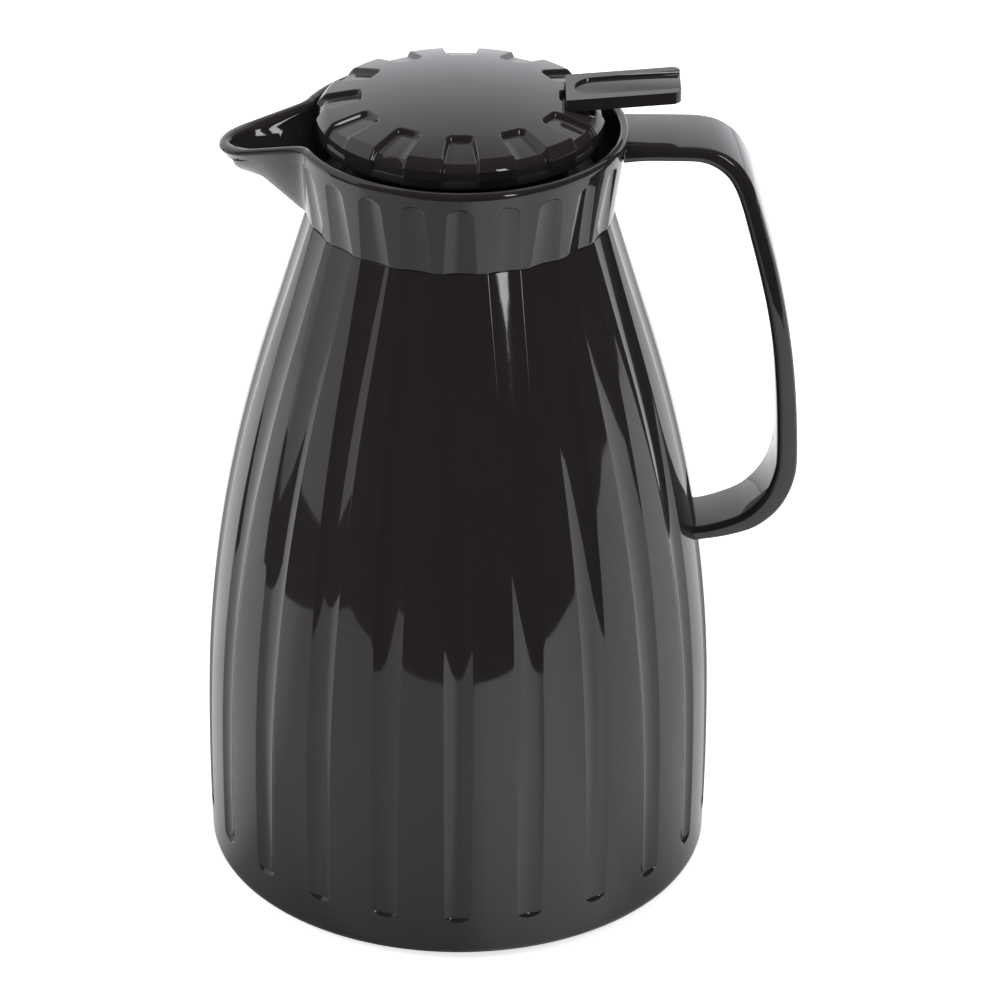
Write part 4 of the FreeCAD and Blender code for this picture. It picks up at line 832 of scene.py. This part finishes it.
def add_boolean(piece, name, operation, tool_mesh):
    """Puts a boolean on the piece and returns its tool, which goes once it is applied."""
    tool = bpy.data.objects.new(name + "_tool", tool_mesh)
    scene.collection.objects.link(tool)
    modifier = piece.modifiers.new(name, "BOOLEAN")
    modifier.operation = operation
    modifier.object = tool
    modifier.solver = "EXACT"
    return tool


def apply_modifiers(piece, *tools):
    """Replaces the piece's mesh by its evaluated one and removes the tools."""
    graph = bpy.context.evaluated_depsgraph_get()
    result = bpy.data.meshes.new_from_object(piece.evaluated_get(graph))
    piece.modifiers.clear()
    piece.data = result
    for tool in tools:
        bpy.data.objects.remove(tool)


SLOT_LOW = (29.4, -9.4, 233.0)
SLOT_HIGH = (37.6, 9.4, 247.0)
slot_mesh = block_mesh("lever_slot", (SLOT_LOW, SLOT_HIGH))
slot_tool = add_boolean(lid_piece, "lever_slot", "DIFFERENCE", slot_mesh)
apply_modifiers(lid_piece, slot_tool)


# Thumb lever: plate with a shallow thumb groove, and the hub and arm below it
# One gloss ABS moulding that tips on a steel pin in the lid's cheeks. Its hub passes through
# the slot, and its forked arm lifts the cap of the valve stem.
LEVER_IN = 29.6
LEVER_OUT = 62.0
LEVER_HALF = 9.0
LEVER_TOP = 245.8
LEVER_RISE = 2.8
LEVER_PLATE = 3.6
LEVER_ROUND_OUT = 2.6
LEVER_ROUND_IN = 0.8
LEVER_EDGE = 0.5
LEVER_EDGE_TURN = math.radians(28.0)
GROOVE_CENTRE = 37.5
GROOVE_ROUND = 5.5
GROOVE_HALF_OUT = 5.9
GROOVE_DEPTH = 0.9
GROOVE_FLARE = 1.12


def lever_level(x):
    """Height of the top of the lever's plate."""
    return LEVER_TOP + LEVER_RISE * (x - LEVER_IN) / (LEVER_OUT - LEVER_IN)


def prism_mesh(name, top_points, low_points):
    """A closed mesh between two outlines of the same count, in mm."""
    work = bmesh.new()
    top = [work.verts.new([v * MM for v in point]) for point in top_points]
    low = [work.verts.new([v * MM for v in point]) for point in low_points]
    work.faces.new(top)
    work.faces.new(list(reversed(low)))
    for i in range(len(top)):
        j = (i + 1) % len(top)
        work.faces.new((top[i], low[i], low[j], top[j]))
    bmesh.ops.recalc_face_normals(work, faces=work.faces)
    mesh = bpy.data.meshes.new(name)
    work.to_mesh(mesh)
    work.free()
    return mesh


plan = []
for cx, cy, r, start in (
        (LEVER_OUT, LEVER_HALF, LEVER_ROUND_OUT, 0), (LEVER_IN, LEVER_HALF, LEVER_ROUND_IN, 90),
        (LEVER_IN, -LEVER_HALF, LEVER_ROUND_IN, 180), (LEVER_OUT, -LEVER_HALF, LEVER_ROUND_OUT, 270)):
    mx = cx - r if cx == LEVER_OUT else cx + r
    my = cy - r if cy > 0 else cy + r
    for step in range(7):
        angle = math.radians(start + 15.0 * step)
        plan.append((mx + r * math.cos(angle), my + r * math.sin(angle)))
lever_mesh = prism_mesh("thumb_lever_plate", [(x, y, lever_level(x)) for x, y in plan],
                        [(x, y, lever_level(x) - LEVER_PLATE) for x, y in plan])
lever = finish_piece("thumb_lever_plate", lever_mesh, black_abs, "lever", "thumb_lever")

plan = []
for step in range(13):
    angle = math.radians(90.0 + 15.0 * step)
    plan.append((GROOVE_CENTRE + GROOVE_ROUND * math.cos(angle), GROOVE_ROUND * math.sin(angle)))
plan += [(LEVER_OUT + 3.0, -GROOVE_HALF_OUT), (LEVER_OUT + 3.0, GROOVE_HALF_OUT)]
groove_mesh = prism_mesh("lever_groove", [(x, y * GROOVE_FLARE, lever_level(x) + 1.0) for x, y in plan],
                         [(x, y, lever_level(x) - GROOVE_DEPTH) for x, y in plan])
HUB_LOW = (29.8, -8.9, 239.8)
HUB_HIGH = (36.2, 8.9, 243.4)
hub_mesh = block_mesh("lever_hub", (HUB_LOW, HUB_HIGH))
hub_tool = add_boolean(lever, "hub", "UNION", hub_mesh)
groove_tool = add_boolean(lever, "groove", "DIFFERENCE", groove_mesh)
soften = lever.modifiers.new("soft_edges", "BEVEL")
soften.width = LEVER_EDGE * MM
soften.segments = 3
soften.limit_method = "ANGLE"
soften.angle_limit = LEVER_EDGE_TURN
soften.harden_normals = True
apply_modifiers(lever, hub_tool, groove_tool)
for polygon in lever.data.polygons:
    polygon.use_smooth = True

FORK_IN = -3.9
FORK_OUT = 31.0
FORK_HALF = 4.9
FORK_GAP_HALF = 2.45
FORK_LOW = 229.6
FORK_HIGH = 232.0
arm_mesh = block_mesh("thumb_lever_arm", ((30.2, -FORK_HALF, FORK_LOW), (35.8, FORK_HALF, 240.2)),
                      ((FORK_IN, FORK_GAP_HALF, FORK_LOW), (FORK_OUT, FORK_HALF, FORK_HIGH)),
                      ((FORK_IN, -FORK_HALF, FORK_LOW), (FORK_OUT, -FORK_GAP_HALF, FORK_HIGH)))
arm = finish_piece("thumb_lever_arm", arm_mesh, black_abs, "lever", "thumb_lever")
for polygon in arm.data.polygons:
    polygon.use_smooth = False


# Pieces that keep their CAD shape: neck tube, stopper, valve, liner, base, seals and screws
# Satin polypropylene for the neck tube, stopper and base, acetal for the valve, clear silicone
# for the seals, stainless steel for pin, spring and screws, rubber below, and a glass liner.
def satin(name, code, roughness, metallic=0.0, scale=600.0, ior=1.49):
    """A moulded, drawn or cast finish whose gloss and colour vary finely."""
    material, tree, output = new_material(name)
    position = add(tree, "ShaderNodeTexCoord").outputs["Object"]
    fine = add(tree, "ShaderNodeTexNoise", {"Vector": position}, Scale=scale, Detail=4.0)
    rub = add(tree, "ShaderNodeMapRange", {"Value": fine.outputs["Fac"]},
              To_Min=roughness * 0.8, To_Max=roughness * 1.2)
    wave = add(tree, "ShaderNodeBump", {"Height": fine.outputs["Fac"]}, Strength=0.25, Distance=0.0002)
    darker = [v * 0.88 for v in linear(code)[:3]] + [1.0]
    tint = two_tone(tree, fine.outputs["Fac"], darker, linear(code))
    shader = add(tree, "ShaderNodeBsdfPrincipled",
                 {"Base Color": tint, "Roughness": rub.outputs["Result"], "Normal": wave.outputs["Normal"]},
                 IOR=ior, Metallic=metallic)
    tree.links.new(shader.outputs["BSDF"], output.inputs["Surface"])
    return material, shader


satin_pp, _ = satin("black_satin_polypropylene", "1E1D1D", 0.38)
plain_steel, _ = satin("plain_stainless_steel", "B8B6B2", 0.28, 1.0, 900.0, 1.5)
foot_rubber, _ = satin("black_foot_rubber", "232323", 0.75, 0.0, 1500.0, 1.52)
silicone, _ = satin("translucent_silicone", "C9C9C5", 0.45, 0.0, 400.0, 1.42)
acetal, _ = satin("natural_acetal", "DAD9D2", 0.4, 0.0, 500.0, 1.48)
liner_glass, glass_shader = satin("blown_liner_glass", "E8EEEE", 0.03, 0.0, 60.0, 1.5)
glass_shader.inputs["Transmission Weight"].default_value = 0.85
finish_of = {
    "black_matte": satin_pp, "steel": plain_steel, "rubber_black": foot_rubber,
    "silicone_clear": silicone, "valve_plastic": acetal, "glass": liner_glass, "black_gloss": black_abs,
}
for part in frame["record"]["subparts"]:
    node = frame["nodes"].get(part["node"])
    if node is None:
        continue
    for slot in node.material_slots:
        slot.material = finish_of[part["material_slot"]]
